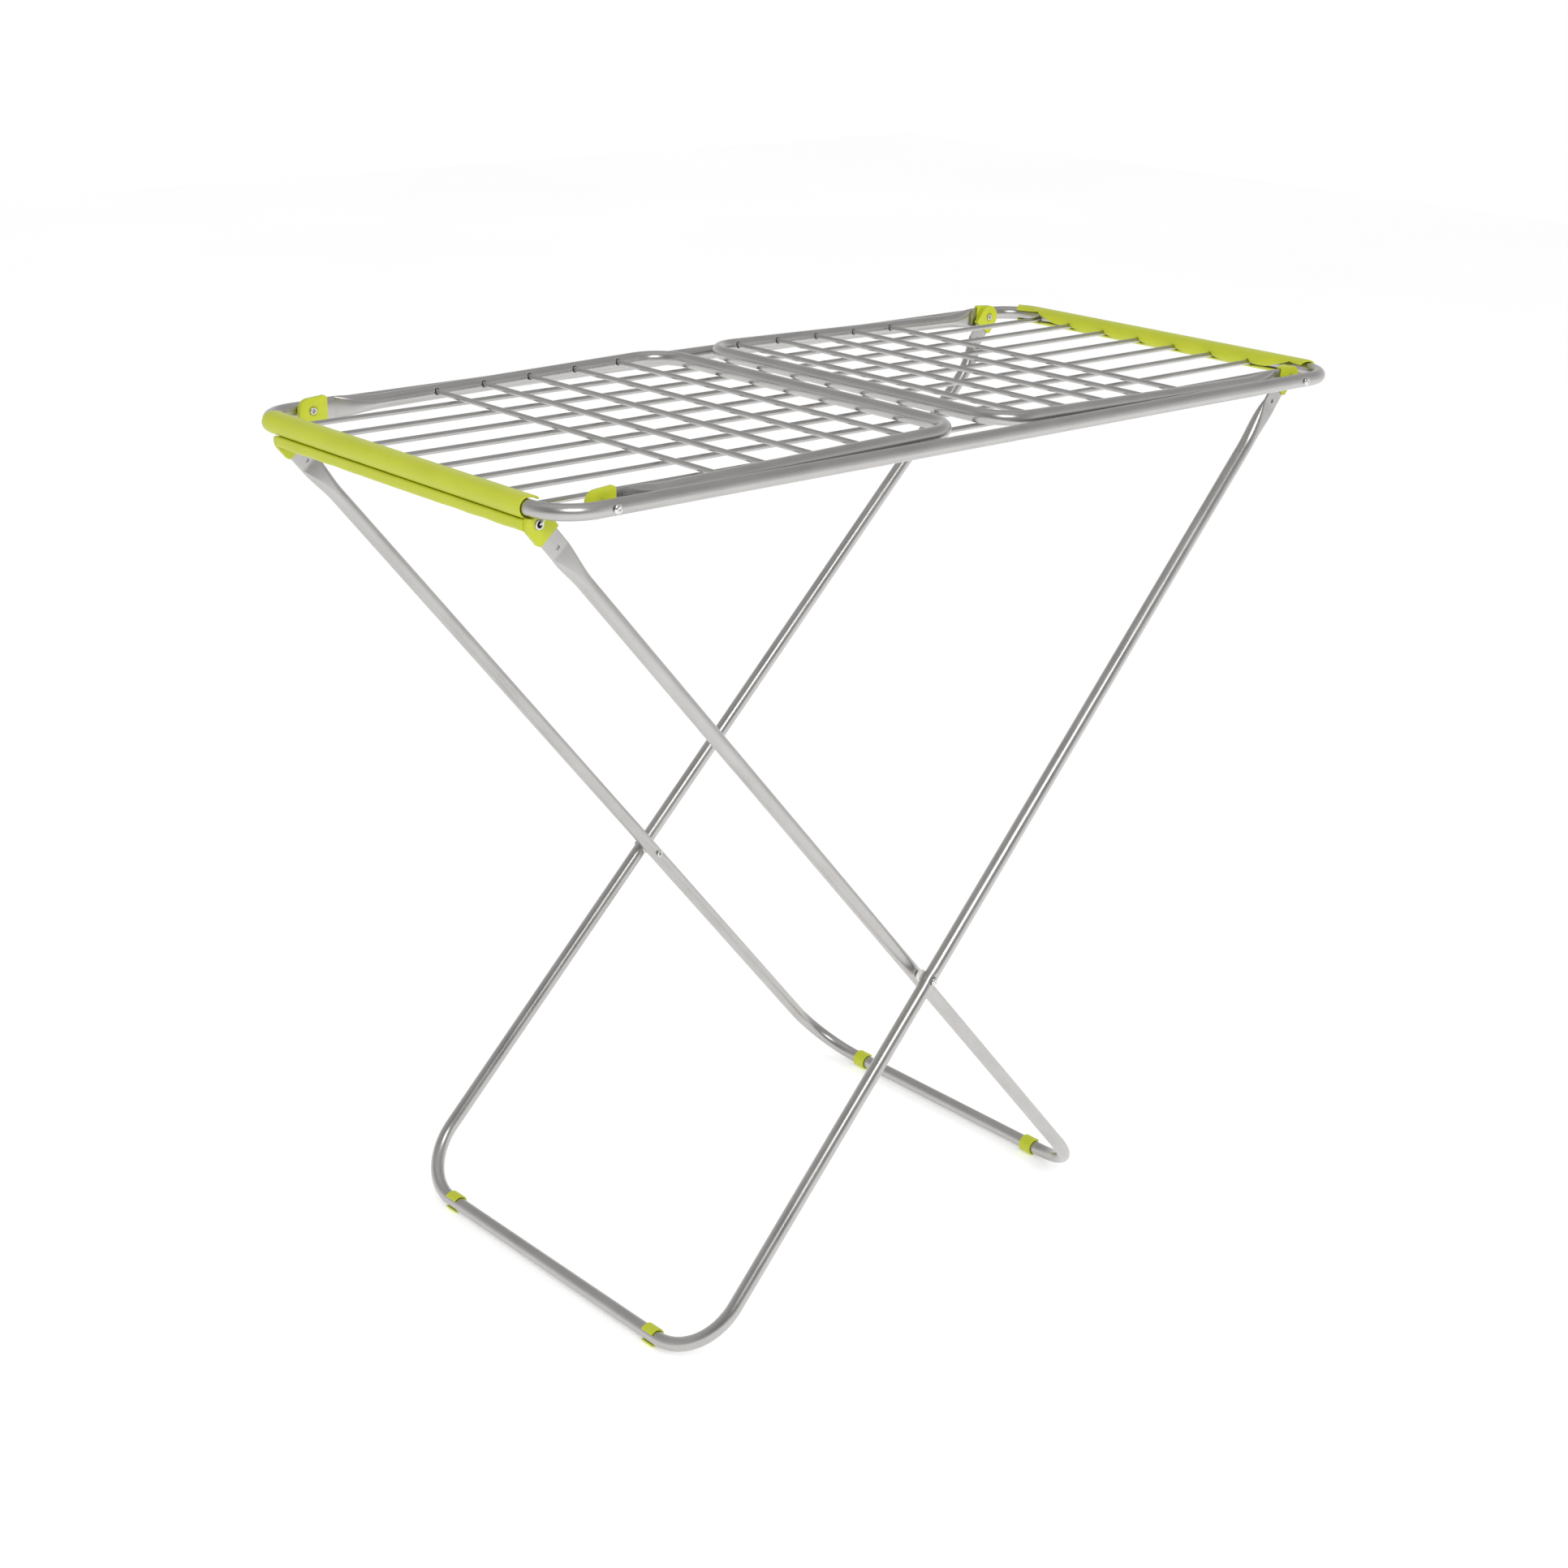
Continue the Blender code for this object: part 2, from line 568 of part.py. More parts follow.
# ---- hook bar, retaining wire, eyelets ------------------------------------------------------
def build_hook_bar():
    top = BED_Z - COVER_R - 0.0004
    left, right = HOOK[0] - 0.0165, HOOK[0] + 0.0090
    outline = [(left + 0.0064, top), (left + 0.0036, top - 0.0008), (left + 0.0013, top - 0.0025),
               (left, top - 0.0050), (left + 0.0006, top - 0.0078), (left + 0.0028, top - 0.0102),
               (left + 0.0066, top - 0.0117), (left + 0.0110, top - 0.0120),
               (left + 0.0175, top - 0.0112), (right - 0.0020, top - 0.0080),
               (right, top - 0.0035), (right - 0.0004, top)]
    half = LEG_B_CAP_Y - CAP_T - GAP
    bar = extrusion("leg_b_crossbar", outline, half, HOOK_BAR_Y)
    bm = bmesh.new()
    cylinder_y(bm, HOOK[0], HOOK[1], HOOK_BAR_Y - half - 0.01, HOOK_BAR_Y + half + 0.01,
               HOOK_WIRE_R + GAP, 12)
    cut(bar, bm)
    plastic(bar)

    face = LEG_B_CAP_Y + CAP_T
    bend_y = face + GAP + 0.0009 + HOOK_WIRE_R + 0.0006
    tip = Vector((0.0052, 0.0, 0.0098))
    path = []
    for edge in (-1, 1):
        base = Vector((HOOK[0], HOOK_BAR_Y, HOOK[1]))
        half_path = [base + Vector((0, edge * (bend_y - 0.0022), 0)),
                     base + Vector((0, edge * (bend_y - 0.0007), 0)) + tip * 0.06,
                     base + Vector((0, edge * bend_y, 0)) + tip * 0.22,
                     base + Vector((0, edge * bend_y, 0)) + tip]
        path += list(reversed(half_path)) if edge < 0 else half_path
    wire = rod("leg_b_hook_wire", path, HOOK_WIRE_R, 2)
    metal(wire)

    for edge, word in ((-1, "near"), (1, "far")):
        face_in = -(2 * CAP_T + GAP)
        profile = [(EYELET_BORE, 0.0009), (0.0046, 0.0009), (0.0052, 0.0004), (0.0052, 0.0),
                   (EYELET_R, 0.0), (EYELET_R, face_in + 0.0006), (EYELET_BORE, face_in + 0.0006),
                   (EYELET_BORE, 0.0009)]
        eyelet = turned(f"leg_b_eyelet_{word}", profile,
                        (HOOK[0], HOOK_BAR_Y + edge * (face + GAP), HOOK[1]), edge, 20)
        metal(eyelet)


# ---- rivets and spacers ---------------------------------------------------------------------
def rivet(name, x, z, inside, outside, edge):
    """Shank from the face at |y| = inside to the one at |y| = outside, a head on each."""
    low, high = inside - outside - 2 * GAP, 0.0
    profile = [(0.0, high + 0.0019), (0.0017, high + 0.0017), (0.0035, high + 0.0011),
               (RIVET_HEAD_R, high + 0.0001), (RIVET_HEAD_R, high), (RIVET_R, high),
               (RIVET_R, low), (RIVET_HEAD_R - 0.0004, low), (RIVET_HEAD_R - 0.0004, low - 0.0005),
               (RIVET_HEAD_R - 0.0012, low - 0.0012), (0.0, low - 0.0012)]
    piece = turned(name, profile, (x, edge * (outside + GAP), z), edge, 18)
    metal(piece)


def build_rivets():
    tube_out = BED_HALF_Y + TUBE_R
    a_y = side_y_at(LEG_A_BEND[1], LEG_A_TOP_Y, LEG_A_FOOT_Y)
    for i, (edge, word) in enumerate(((-1, "near"), (1, "far"))):
        b_y = side_y_at(LEG_B_KNEE[1], abs(LEG_B_TOPS[i]), LEG_B_FOOT_Y)
        left, right = abs(WING_CAPS[i]) - CAP_T, abs(LEG_A_CAPS[i]) - CAP_T
        rivet(f"pivot_rivet_left_{word}", -PIVOT_X, BED_Z, left, tube_out, edge)
        rivet(f"pivot_rivet_right_{word}", PIVOT_X, BED_Z, right, tube_out, edge)
        rivet(f"crossing_rivet_{word}", CROSS[0], CROSS[1], b_y - TUBE_R - 0.0002,
              a_y + TUBE_R + 0.0002, edge)
        gap_in, gap_out = b_y + TUBE_R + 0.0004, a_y - TUBE_R - 0.0004
        length = gap_out - gap_in
        bore = RIVET_R + GAP
        profile = [(bore, length), (SPACER_R - 0.0006, length), (SPACER_R, length - 0.0006),
                   (SPACER_R, 0.0006), (SPACER_R - 0.0006, 0.0), (bore, 0.0), (bore, length)]
        spacer = turned(f"crossing_spacer_{word}", profile, (CROSS[0], edge * gap_in, CROSS[1]),
                        edge, 20)
        paint(spacer, (0.85, 0.85, 0.82), 0.45, 0.0)


build_bed()
build_end_cover("end_cover_left", -1)
build_end_cover("end_cover_right", 1)
build_wing("left_wing", -1)
build_wing("right_wing", 1)
build_legs()
build_hook_bar()
build_rivets()
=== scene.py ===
"""Looks of the folding clothes drying rack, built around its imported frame.

The frame gives every place: node boxes, joint positions and the record's bodies and slots.
X runs along the rack, Y across it ("near" is -Y), Z up.
"""
import json
import math

import bmesh
import bpy
import numpy as np
from mathutils import Matrix, Vector


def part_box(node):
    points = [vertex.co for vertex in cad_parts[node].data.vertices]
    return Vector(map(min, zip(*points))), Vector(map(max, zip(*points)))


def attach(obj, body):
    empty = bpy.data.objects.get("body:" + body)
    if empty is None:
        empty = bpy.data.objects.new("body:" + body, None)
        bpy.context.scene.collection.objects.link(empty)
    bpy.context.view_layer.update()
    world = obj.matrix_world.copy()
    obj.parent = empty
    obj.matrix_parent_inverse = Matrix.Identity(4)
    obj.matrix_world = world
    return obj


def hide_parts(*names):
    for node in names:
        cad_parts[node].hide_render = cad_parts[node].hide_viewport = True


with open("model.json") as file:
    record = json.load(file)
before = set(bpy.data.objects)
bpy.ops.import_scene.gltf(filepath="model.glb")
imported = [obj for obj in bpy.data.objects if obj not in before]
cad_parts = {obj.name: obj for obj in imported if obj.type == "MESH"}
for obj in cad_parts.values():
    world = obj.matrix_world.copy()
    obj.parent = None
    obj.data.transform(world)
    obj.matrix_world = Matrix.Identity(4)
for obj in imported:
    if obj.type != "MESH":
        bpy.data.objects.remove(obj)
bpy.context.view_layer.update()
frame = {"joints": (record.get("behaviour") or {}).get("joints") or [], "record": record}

RECORD = frame["record"]
BODY_OF = {node: body for body, nodes in RECORD["behaviour"]["bodies"].items() for node in nodes}
JOINT_AT = {joint["name"]: np.array(joint["pos_m"], float) for joint in frame["joints"]}


def corners_of(node):
    low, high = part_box(node)
    return np.array(low, float), np.array(high, float)


def middle_of(node):
    low, high = corners_of(node)
    return (low + high) / 2


# ---- sizes, read from the frame ----
BED_LOW, BED_HIGH = corners_of("bed_frame_tube")
TUBE_R = (BED_HIGH[2] - BED_LOW[2]) / 2
BED_Z = (BED_HIGH[2] + BED_LOW[2]) / 2
BED_X = BED_HIGH[0] - TUBE_R
BED_Y = BED_HIGH[1] - TUBE_R
PIVOT_X = JOINT_AT["right_wing_pivot"][0]
CROSS = JOINT_AT["leg_crossing"]
HOOK = middle_of("leg_b_eyelet_near") * [1, 0, 1] + middle_of("leg_b_crossbar") * [0, 1, 0]
WING_Y = corners_of("left_wing_tube")[1][1] - TUBE_R
LEG_B_CAP_Y = middle_of("leg_b_cap_far")[1] - HOOK[1]
LEG_A_FOOT_X = corners_of("leg_a_tube")[0][0] + TUBE_R
LEG_B_FOOT_X = corners_of("leg_b_tube")[1][0] - TUBE_R
FOOT_Z = corners_of("leg_a_tube")[0][2] + TUBE_R
COVER_R = corners_of("end_cover_left")[1][2] - BED_Z
HOOD = corners_of("end_cover_left")[1][0] + BED_X   # reach of the covers' top lips
CLIP_HALF = (corners_of("leg_a_foot_far")[1][1] - corners_of("leg_a_foot_far")[0][1]) / 2

# ---- sizes of the details (metres) ----
GAP = 0.0003                     # clearance between touching pieces
BED_CORNER_R = 0.048
WING_CORNER_R = 0.046
LEG_CORNER_R = 0.074
WIRE_R = 0.0030
WIRE_PITCH = 0.060               # between the long bed wires
WIRE_HOLE_R = 0.0037
WIRE_DEPTH = 0.0048              # how deep a wire's hole goes
SIDES = 40                       # sides of a frame tube
FLAT_W = 0.0122                  # half width of a flattened tube end
FLAT_T = 0.0014                  # half thickness of a flattened tube end
TIP = 0.0040                     # flattened tube past its rivet
CAP_T = 0.0028                   # half thickness of an end cap
COVER_T = 0.0022                 # wall of the end covers
# where the covers end along the end tubes, measured round their corners
COVER_ENDS = {"end_cover_left": (-0.2245, 0.2360), "end_cover_right": (-0.2330, 0.2510)}
LEG_A_BEND = np.array([0.4655, 0.0, 0.9250])    # its knee
LEG_B_BEND = 0.0640              # leg B's knee, in X from its rivet
# each leg's two tops in Y, and half the width of its foot bar
LEG_A_TOPS, LEG_A_FOOT_Y = (-0.2415, 0.2415), 0.2765
LEG_B_TOPS, LEG_B_FOOT_Y = (-0.2258, 0.2178), 0.2478
BEND_R = 0.16                    # gentle bends below the leg tops
DRILL_AT = 0.034                 # small hole below each leg's rivet
DRILL_R, DRILL_DEPTH = 0.0026, 0.0013    # of that hole
RIVET_R = 0.0022
PIVOT_DENT = (0.0062, 0.0011)    # radius and depth of the tubes' dents under rivet heads
CROSSING_DENT = (0.0066, 0.0010)    # the same, where the legs cross
COUNTERBORE = (0.0054, 0.0007)   # radius and depth, round the bore on both faces of a cap
COLLAR_AT = (0.00062, 0.00010)   # middle of a punched hole's rim: past its edge, above the tube
COLLAR_HALF = (0.00068, 0.00056)    # half width and half height of that rim
NECK_AT, NECK_DEPTH, NECK_WIDTH = 0.007, 0.00030, 0.0012    # a wire's neck, from its end
TIP_CHAMFER = 0.0004             # at the cut ends of the wires
EYELET_R = 0.0031
EYELET_RIM = 0.0009              # height of its rolled rim
HOOK_WIRE_R = 0.0013
BAR_WAVE, BAR_WAVE_LENGTH = 0.0007, 0.052    # ripple of the hook bar's underside
OUTER_WIRE = 3.5                 # outermost bed wires from the middle, in pitches
HOOD_POWER = 0.75                # of the superellipse of the covers' hoods; below 1 is squarer
SCALLOP_POWER = 0.42             # below 1 for full scallops with narrow notches
HOOD_END = (15, 56)              # hood's end at an inner and an outermost wire, in degrees
LOW_LIP_END = 302                # lower lip's end at each wire, in degrees
OVERRUN = 0.006                  # how far cutters stand out of what they cut

# ---- camera, as a standing photographer's tripod ----
CAM_POS = Vector((-1.9526, -2.0924, 1.5867))
CAM_YAW, CAM_PITCH, CAM_ROLL = 0.7372, -0.3558, 0.0259
CAM_LENS = 57.78


# ---- vectors and paths ----
def unit(v):
    return v / np.linalg.norm(v)


def ease(t):
    t = np.clip(t, 0.0, 1.0)
    return t * t * (3 - 2 * t)


def rounded(corners, radii, step=0.001):
    """Points through the corners, the inner ones rounded, no further apart than step."""
    rough = [corners[0]]
    for before, corner, after, radius in zip(corners, corners[1:], corners[2:], radii):
        a, b = unit(before - corner), unit(after - corner)
        half = math.acos(np.clip(a @ b, -1, 1)) / 2
        centre = corner + unit(a + b) * radius / math.sin(half)
        first = corner + a * radius / math.tan(half)
        last = corner + b * radius / math.tan(half)
        u, w = unit(first - centre), unit(last - centre)
        sweep_angle = math.acos(np.clip(u @ w, -1, 1))
        v = unit(w - u * (w @ u))
        count = max(6, int(radius * sweep_angle / step))
        for t in np.linspace(0, sweep_angle, count):
            rough.append(centre + radius * (math.cos(t) * u + math.sin(t) * v))
    rough.append(corners[-1])
    points = [rough[0]]
    for a, b in zip(rough, rough[1:]):
        count = max(1, int(np.linalg.norm(b - a) / step))
        points += [a + (b - a) * (i + 1) / count for i in range(count)]
    return np.array(points)


class Path:
    """A centre line as close points with its running length."""

    def __init__(self, points, closed=False):
        self.points = points
        self.run = np.concatenate([[0], np.cumsum(np.linalg.norm(np.diff(points, axis=0), axis=1))])
        self.total = self.run[-1]
        self.closed = closed

    def at(self, s):
        s = s % self.total if self.closed else s
        return np.stack([np.interp(s, self.run, self.points[:, k]) for k in range(3)], axis=-1)

    def direction(self, s):
        reach = 0.0015
        if self.closed:
            d = self.at(s + reach) - self.at(s - reach)
        else:
            d = (self.at(np.clip(s + reach, 0, self.total))
                 - self.at(np.clip(s - reach, 0, self.total)))
        return d / np.linalg.norm(d, axis=-1, keepdims=True)

    def nearest(self, place):
        return self.run[np.argmin(np.linalg.norm(self.points - place, axis=1))]

    def stations(self, fine=(), longest=0.030, turn=2.2):
        """Places along the path, close where it bends and near the fine (place, reach, step)."""
        ways = self.direction(self.run)
        keep = [0]
        for i in range(1, len(self.run)):
            step = longest
            for place, reach, small in fine:
                if abs(self.run[i] - place) < reach:
                    step = min(step, small)
            bend = math.degrees(math.acos(np.clip(ways[i] @ ways[keep[-1]], -1, 1)))
            if self.run[i] - self.run[keep[-1]] >= step or bend > turn:
                keep.append(i)
        if keep[-1] != len(self.run) - 1:
            keep.append(len(self.run) - 1)
        if self.closed:
            keep.pop()
        return self.run[keep]


# ---- mesh parts: (points, faces, material number) ----
def grid_faces(rows, columns, wrap_rows=False):
    """Quads between rows of points that each close on themselves."""
    faces = []
    for i in range(rows if wrap_rows else rows - 1):
        a, b = i * columns, ((i + 1) % rows) * columns
        for k in range(columns):
            j = (k + 1) % columns
            faces.append((a + k, a + j, b + j, b + k))
    return faces


def loft(sections):
    """A closed body through a row of equal sections."""
    count = len(sections[0])
    last = (len(sections) - 1) * count
    faces = grid_faces(len(sections), count)
    faces += [tuple(range(count)), tuple(range(last, last + count))]
    return np.concatenate(sections), faces, 0


def sweep(path, normal, stations, thick, flat=None, sides=SIDES):
    """A tube along the path; flat is the half length of the straight part of its section."""
    flat = np.zeros(len(stations)) if flat is None else flat
    centre, along = path.at(stations), path.direction(stations)
    up = normal - along * (along @ normal)[:, None]
    up /= np.linalg.norm(up, axis=1, keepdims=True)
    side = np.cross(along, up)
    angle = (np.arange(sides) + 0.5) * 2 * math.pi / sides
    across = thick[:, None] * np.cos(angle)
    high = thick[:, None] * np.sin(angle) + flat[:, None] * np.sign(np.sin(angle))
    points = centre[:, None] + across[..., None] * side[:, None] + high[..., None] * up[:, None]
    faces = grid_faces(len(stations), sides, wrap_rows=path.closed)
    if not path.closed:
        faces.append(tuple(range(sides)))
        faces.append(tuple(range((len(stations) - 1) * sides, len(stations) * sides)))
    return points.reshape(-1, 3), faces, 0


def lathe(profile, place, axis, steps=40, number=0):
    """A turned part: (radius, height) pairs, heights along axis from place; radius 0 closes."""
    axis = unit(np.array(axis, float))
    u = unit(np.cross(axis, [0.31, 0.22, 0.93]))     # any direction across the axis
    v = np.cross(axis, u)
    angle = np.arange(steps) * 2 * math.pi / steps
    ring = np.cos(angle)[:, None] * u + np.sin(angle)[:, None] * v
    points = np.concatenate([place + max(r, 1e-6) * ring + h * axis for r, h in profile])
    faces = grid_faces(len(profile), steps)
    if profile[0] == profile[-1]:
        faces = grid_faces(len(profile) - 1, steps, wrap_rows=True)
        points = points[:-steps]
    return points, faces, number


def wire_collar(place, out, along, drop):
    """Raised rim of a punched hole on a tube: place is on the tube's axis, drop its offset."""
    up = np.cross(out, along)
    points = []
    rim, turns = 12, 40
    for i in range(turns):
        angle = 2 * math.pi * i / turns
        for k in range(rim):
            t = 2 * math.pi * k / rim
            reach = WIRE_HOLE_R + COLLAR_AT[0] + COLLAR_HALF[0] * math.cos(t)
            lift = COLLAR_AT[1] + COLLAR_HALF[1] * math.sin(t)
            b = drop + reach * math.sin(angle)
            surface = math.sqrt(TUBE_R ** 2 - b ** 2)
            points.append(place + along * reach * math.cos(angle) + up * b + out * (surface + lift))
    return np.array(points), grid_faces(turns, rim, wrap_rows=True), 0


def press(points, place, inward, radius, depth):
    """Dents the points near place along inward."""
    near = np.linalg.norm(points - place, axis=1) / radius
    return points + np.outer(depth * np.exp(-near ** 2), inward)


def prism(outline, half, y):
    """An outline of (x, z) pairs extruded along Y."""
    outline = np.array(outline)
    count = len(outline)
    low = np.column_stack([outline[:, 0], np.full(count, y - half), outline[:, 1]])
    return loft([low, low + [0, 2 * half, 0]])


def build(name, parts):
    """An object with one mesh made of all the parts, its faces turned outward."""
    bm = bmesh.new()
    for points, faces, number in parts:
        verts = [bm.verts.new(p) for p in points]
        for face in faces:
            bm.faces.new([verts[i] for i in face]).material_index = number
    bmesh.ops.remove_doubles(bm, verts=bm.verts, dist=2e-6)
    bmesh.ops.recalc_face_normals(bm, faces=bm.faces)
    mesh = bpy.data.meshes.new(name)
    bm.to_mesh(mesh)
    bm.free()
    obj = bpy.data.objects.new(name, mesh)
    bpy.context.scene.collection.objects.link(obj)
    return obj


def join(obj, parts):
    """Adds parts to an object's mesh."""
    bm = bmesh.new()
    bm.from_mesh(obj.data)
    for points, faces, number in parts:
        verts = [bm.verts.new(p) for p in points]
        made = [bm.faces.new([verts[i] for i in face]) for face in faces]
        for face in made:
            face.material_index = number
        bmesh.ops.recalc_face_normals(bm, faces=made)
    bm.to_mesh(obj.data)
    bm.free()


def cylinder(place, axis, reach_in, reach_out, radius, sides=24):
    """A closed cylinder from place - reach_in to place + reach_out along axis, as a cutter."""
    profile = [(0.0, -reach_in), (radius, -reach_in), (radius, reach_out), (0.0, reach_out)]
    # its walls take material number 1, which on the tubes is the near-black painted shade of the
    # holes
    return lathe(profile, np.array(place, float), axis, sides, 1)


def block(place, angle, size, number=0):
    """A box about place, turned by angle in the XZ plane."""
    c, s = math.cos(angle), math.sin(angle)
    points = []
    for dx in (-0.5, 0.5):
        for dy in (-0.5, 0.5):
            for dz in (-0.5, 0.5):
                x, y, z = dx * size[0], dy * size[1], dz * size[2]
                points.append((place[0] + x * c - z * s, place[1] + y, place[2] + x * s + z * c))
    faces = [(0, 1, 3, 2), (4, 6, 7, 5), (0, 4, 5, 1), (2, 3, 7, 6), (0, 2, 6, 4), (1, 5, 7, 3)]
    return np.array(points), faces, number


def settle(obj):
    """Applies an object's modifiers to its mesh."""
    graph = bpy.context.evaluated_depsgraph_get()
    mesh = bpy.data.meshes.new_from_object(obj.evaluated_get(graph))
    obj.modifiers.clear()
    obj.data = mesh


def carve(obj, parts):
    """Cuts the parts, which may not touch each other, out of an object."""
    cutter = build(obj.name + "_cutter", parts)
    for mesh in (obj.data, cutter.data):
        for _ in range(2):
            mesh.materials.append(None)
    # cut walls keep the cutters' material numbers, so holes in the tubes get their painted shade
    mod = obj.modifiers.new("cut", 'BOOLEAN')
    mod.operation = 'DIFFERENCE'
    mod.solver = 'EXACT'
    mod.material_mode = 'INDEX'
    mod.object = cutter
    settle(obj)
    bpy.data.objects.remove(cutter, do_unlink=True)


def soften(obj, width, segments=2, angle=40):
    """Rounds the edges that are sharper than angle."""
    mod = obj.modifiers.new("edges", 'BEVEL')
    mod.width = width
    mod.segments = segments
    mod.limit_method = 'ANGLE'
    mod.angle_limit = math.radians(angle)
    mod.harden_normals = False
    settle(obj)


def grain(obj, path, normal):
    """Stores each point's length along the path and its place across it, for drawn lines."""
    points = np.empty(len(obj.data.vertices) * 3)
    obj.data.vertices.foreach_get("co", points)
    points = points.reshape(-1, 3)
    marks = np.linspace(0, path.total, int(path.total / 0.004) + 2)
    centre, along = path.at(marks), path.direction(marks)
    up = normal - along * (along @ normal)[:, None]
    up /= np.linalg.norm(up, axis=1, keepdims=True)
    values = np.empty_like(points)
    batch = 2000
    for start in range(0, len(points), batch):
        group = points[start:start + batch]
        pick = np.argmin(((group[:, None] - centre[None]) ** 2).sum(axis=2), axis=1)
        offset = group - centre[pick]
        values[start:start + batch, 0] = marks[pick] + (offset * along[pick]).sum(axis=1)
        values[start:start + batch, 1] = (offset * np.cross(along[pick], up[pick])).sum(axis=1)
        values[start:start + batch, 2] = (offset * up[pick]).sum(axis=1)
    layer = obj.data.attributes.new("grain", 'FLOAT_VECTOR', 'POINT')
    layer.data.foreach_set("vector", values.ravel())


def present(obj, node, *materials, angle=32):
    """Names, smooths and paints a finished piece, and puts it in its node's place."""
    obj.name = node + "_look"
    obj.data.name = obj.name
    obj.data.materials.clear()
    for material in materials:
        obj.data.materials.append(material)
    obj.data.polygons.foreach_set("use_smooth", [True] * len(obj.data.polygons))
    obj.data.set_sharp_from_angle(angle=math.radians(angle))
    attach(obj, BODY_OF[node])
    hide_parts(node)


# ---- materials ----
class Look:
    """A node material with a Principled shader and small helpers to feed its sockets."""

    def __init__(self, name):
        self.material = bpy.data.materials.new(name)
        self.material.use_nodes = True
        self.nodes = self.material.node_tree.nodes
        self.link = self.material.node_tree.links.new
        self.shader = self.nodes["Principled BSDF"]

    def coordinates(self, attribute=None):
        if attribute:
            node = self.nodes.new("ShaderNodeAttribute")
            node.attribute_name = attribute
            return node.outputs["Vector"]
        return self.nodes.new("ShaderNodeTexCoord").outputs["Object"]

    def noise(self, source, scale, detail=3.0, rough=0.5):
        """Noise with a scale per axis, in cycles a metre."""
        mapping = self.nodes.new("ShaderNodeMapping")
        mapping.inputs["Scale"].default_value = scale
        self.link(source, mapping.inputs["Vector"])
        node = self.nodes.new("ShaderNodeTexNoise")
        node.inputs["Scale"].default_value = 1.0
        node.inputs["Detail"].default_value = detail
        node.inputs["Roughness"].default_value = rough
        self.link(mapping.outputs["Vector"], node.inputs["Vector"])
        return node.outputs["Fac"]

    def ramp(self, source, stops):
        node = self.nodes.new("ShaderNodeValToRGB")
        band = node.color_ramp
        while len(band.elements) < len(stops):
            band.elements.new(0.5)
        for element, (place, color) in zip(band.elements, stops):
            element.position = place
            element.color = (*color, 1.0)
        self.link(source, node.inputs["Fac"])
        return node.outputs["Color"]

    def spread(self, source, low, high, start=0.3, end=0.7):
        """Maps start..end of the source to low..high."""
        node = self.nodes.new("ShaderNodeMapRange")
        ends = {"From Min": start, "From Max": end, "To Min": low, "To Max": high}
        for name, value in ends.items():
            node.inputs[name].default_value = value
        self.link(source, node.inputs["Value"])
        return node.outputs["Result"]

    def math(self, operation, a, b):
        node = self.nodes.new("ShaderNodeMath")
        node.operation = operation
        for socket, value in zip(node.inputs, (a, b)):
            if isinstance(value, float):
                socket.default_value = value
            else:
                self.link(value, socket)
        return node.outputs["Value"]

    def tint(self, color, fac, dark):
        """Mixes color towards dark by fac."""
        node = self.nodes.new("ShaderNodeMix")
        node.data_type = 'RGBA'
        self.link(fac, node.inputs["Factor"])
        self.link(color, node.inputs["A"])
        node.inputs["B"].default_value = (*dark, 1.0)
        return node.outputs["Result"]

    def bump(self, height, strength, distance, below=None):
        node = self.nodes.new("ShaderNodeBump")
        node.inputs["Strength"].default_value = strength
        node.inputs["Distance"].default_value = distance
        self.link(height, node.inputs["Height"])
        if below is not None:
            self.link(below, node.inputs["Normal"])
        return node.outputs["Normal"]

    def set(self, **values):
        for name, value in values.items():
            socket = self.shader.inputs[name.replace("_", " ")]
            if isinstance(value, (float, tuple)):
                socket.default_value = value
            else:
                self.link(value, socket)


def aluminium(name, tone, smooth, rough):
    """Drawn aluminium: fine lengthwise lines, soft clouding, small pits and scuffs."""
    look = Look(name)
    place = look.coordinates("grain")
    lines = look.noise(place, (5.0, 1900.0, 1900.0), 4.0, 0.6)
    clouds = look.noise(place, (22.0, 60.0, 60.0), 3.0)
    pits = look.noise(place, (520.0, 760.0, 760.0), 1.0)
    scuffs = look.noise(place, (60.0, 900.0, 900.0), 2.0)
    low, high = tone
    color = look.ramp(look.math('ADD', look.math('MULTIPLY', lines, 0.4),
                                look.math('MULTIPLY', clouds, 0.6)),
                      [(0.3, low), (0.7, high)])
    pitted = look.spread(pits, 0.0, 0.40, 0.76, 0.82)
    color = look.tint(color, pitted, (0.24, 0.235, 0.23))
    base = look.spread(clouds, smooth, rough)
    worn = look.math('ADD', base, look.spread(scuffs, 0.0, 0.06, 0.62, 0.82))
    height = look.math('ADD', look.math('MULTIPLY', lines, 0.7),
                       look.math('MULTIPLY', pitted, -0.9))
    normal = look.bump(height, 0.10, 0.00006)
    look.set(Base_Color=color, Metallic=1.0, Roughness=worn, Normal=normal)
    return look.material


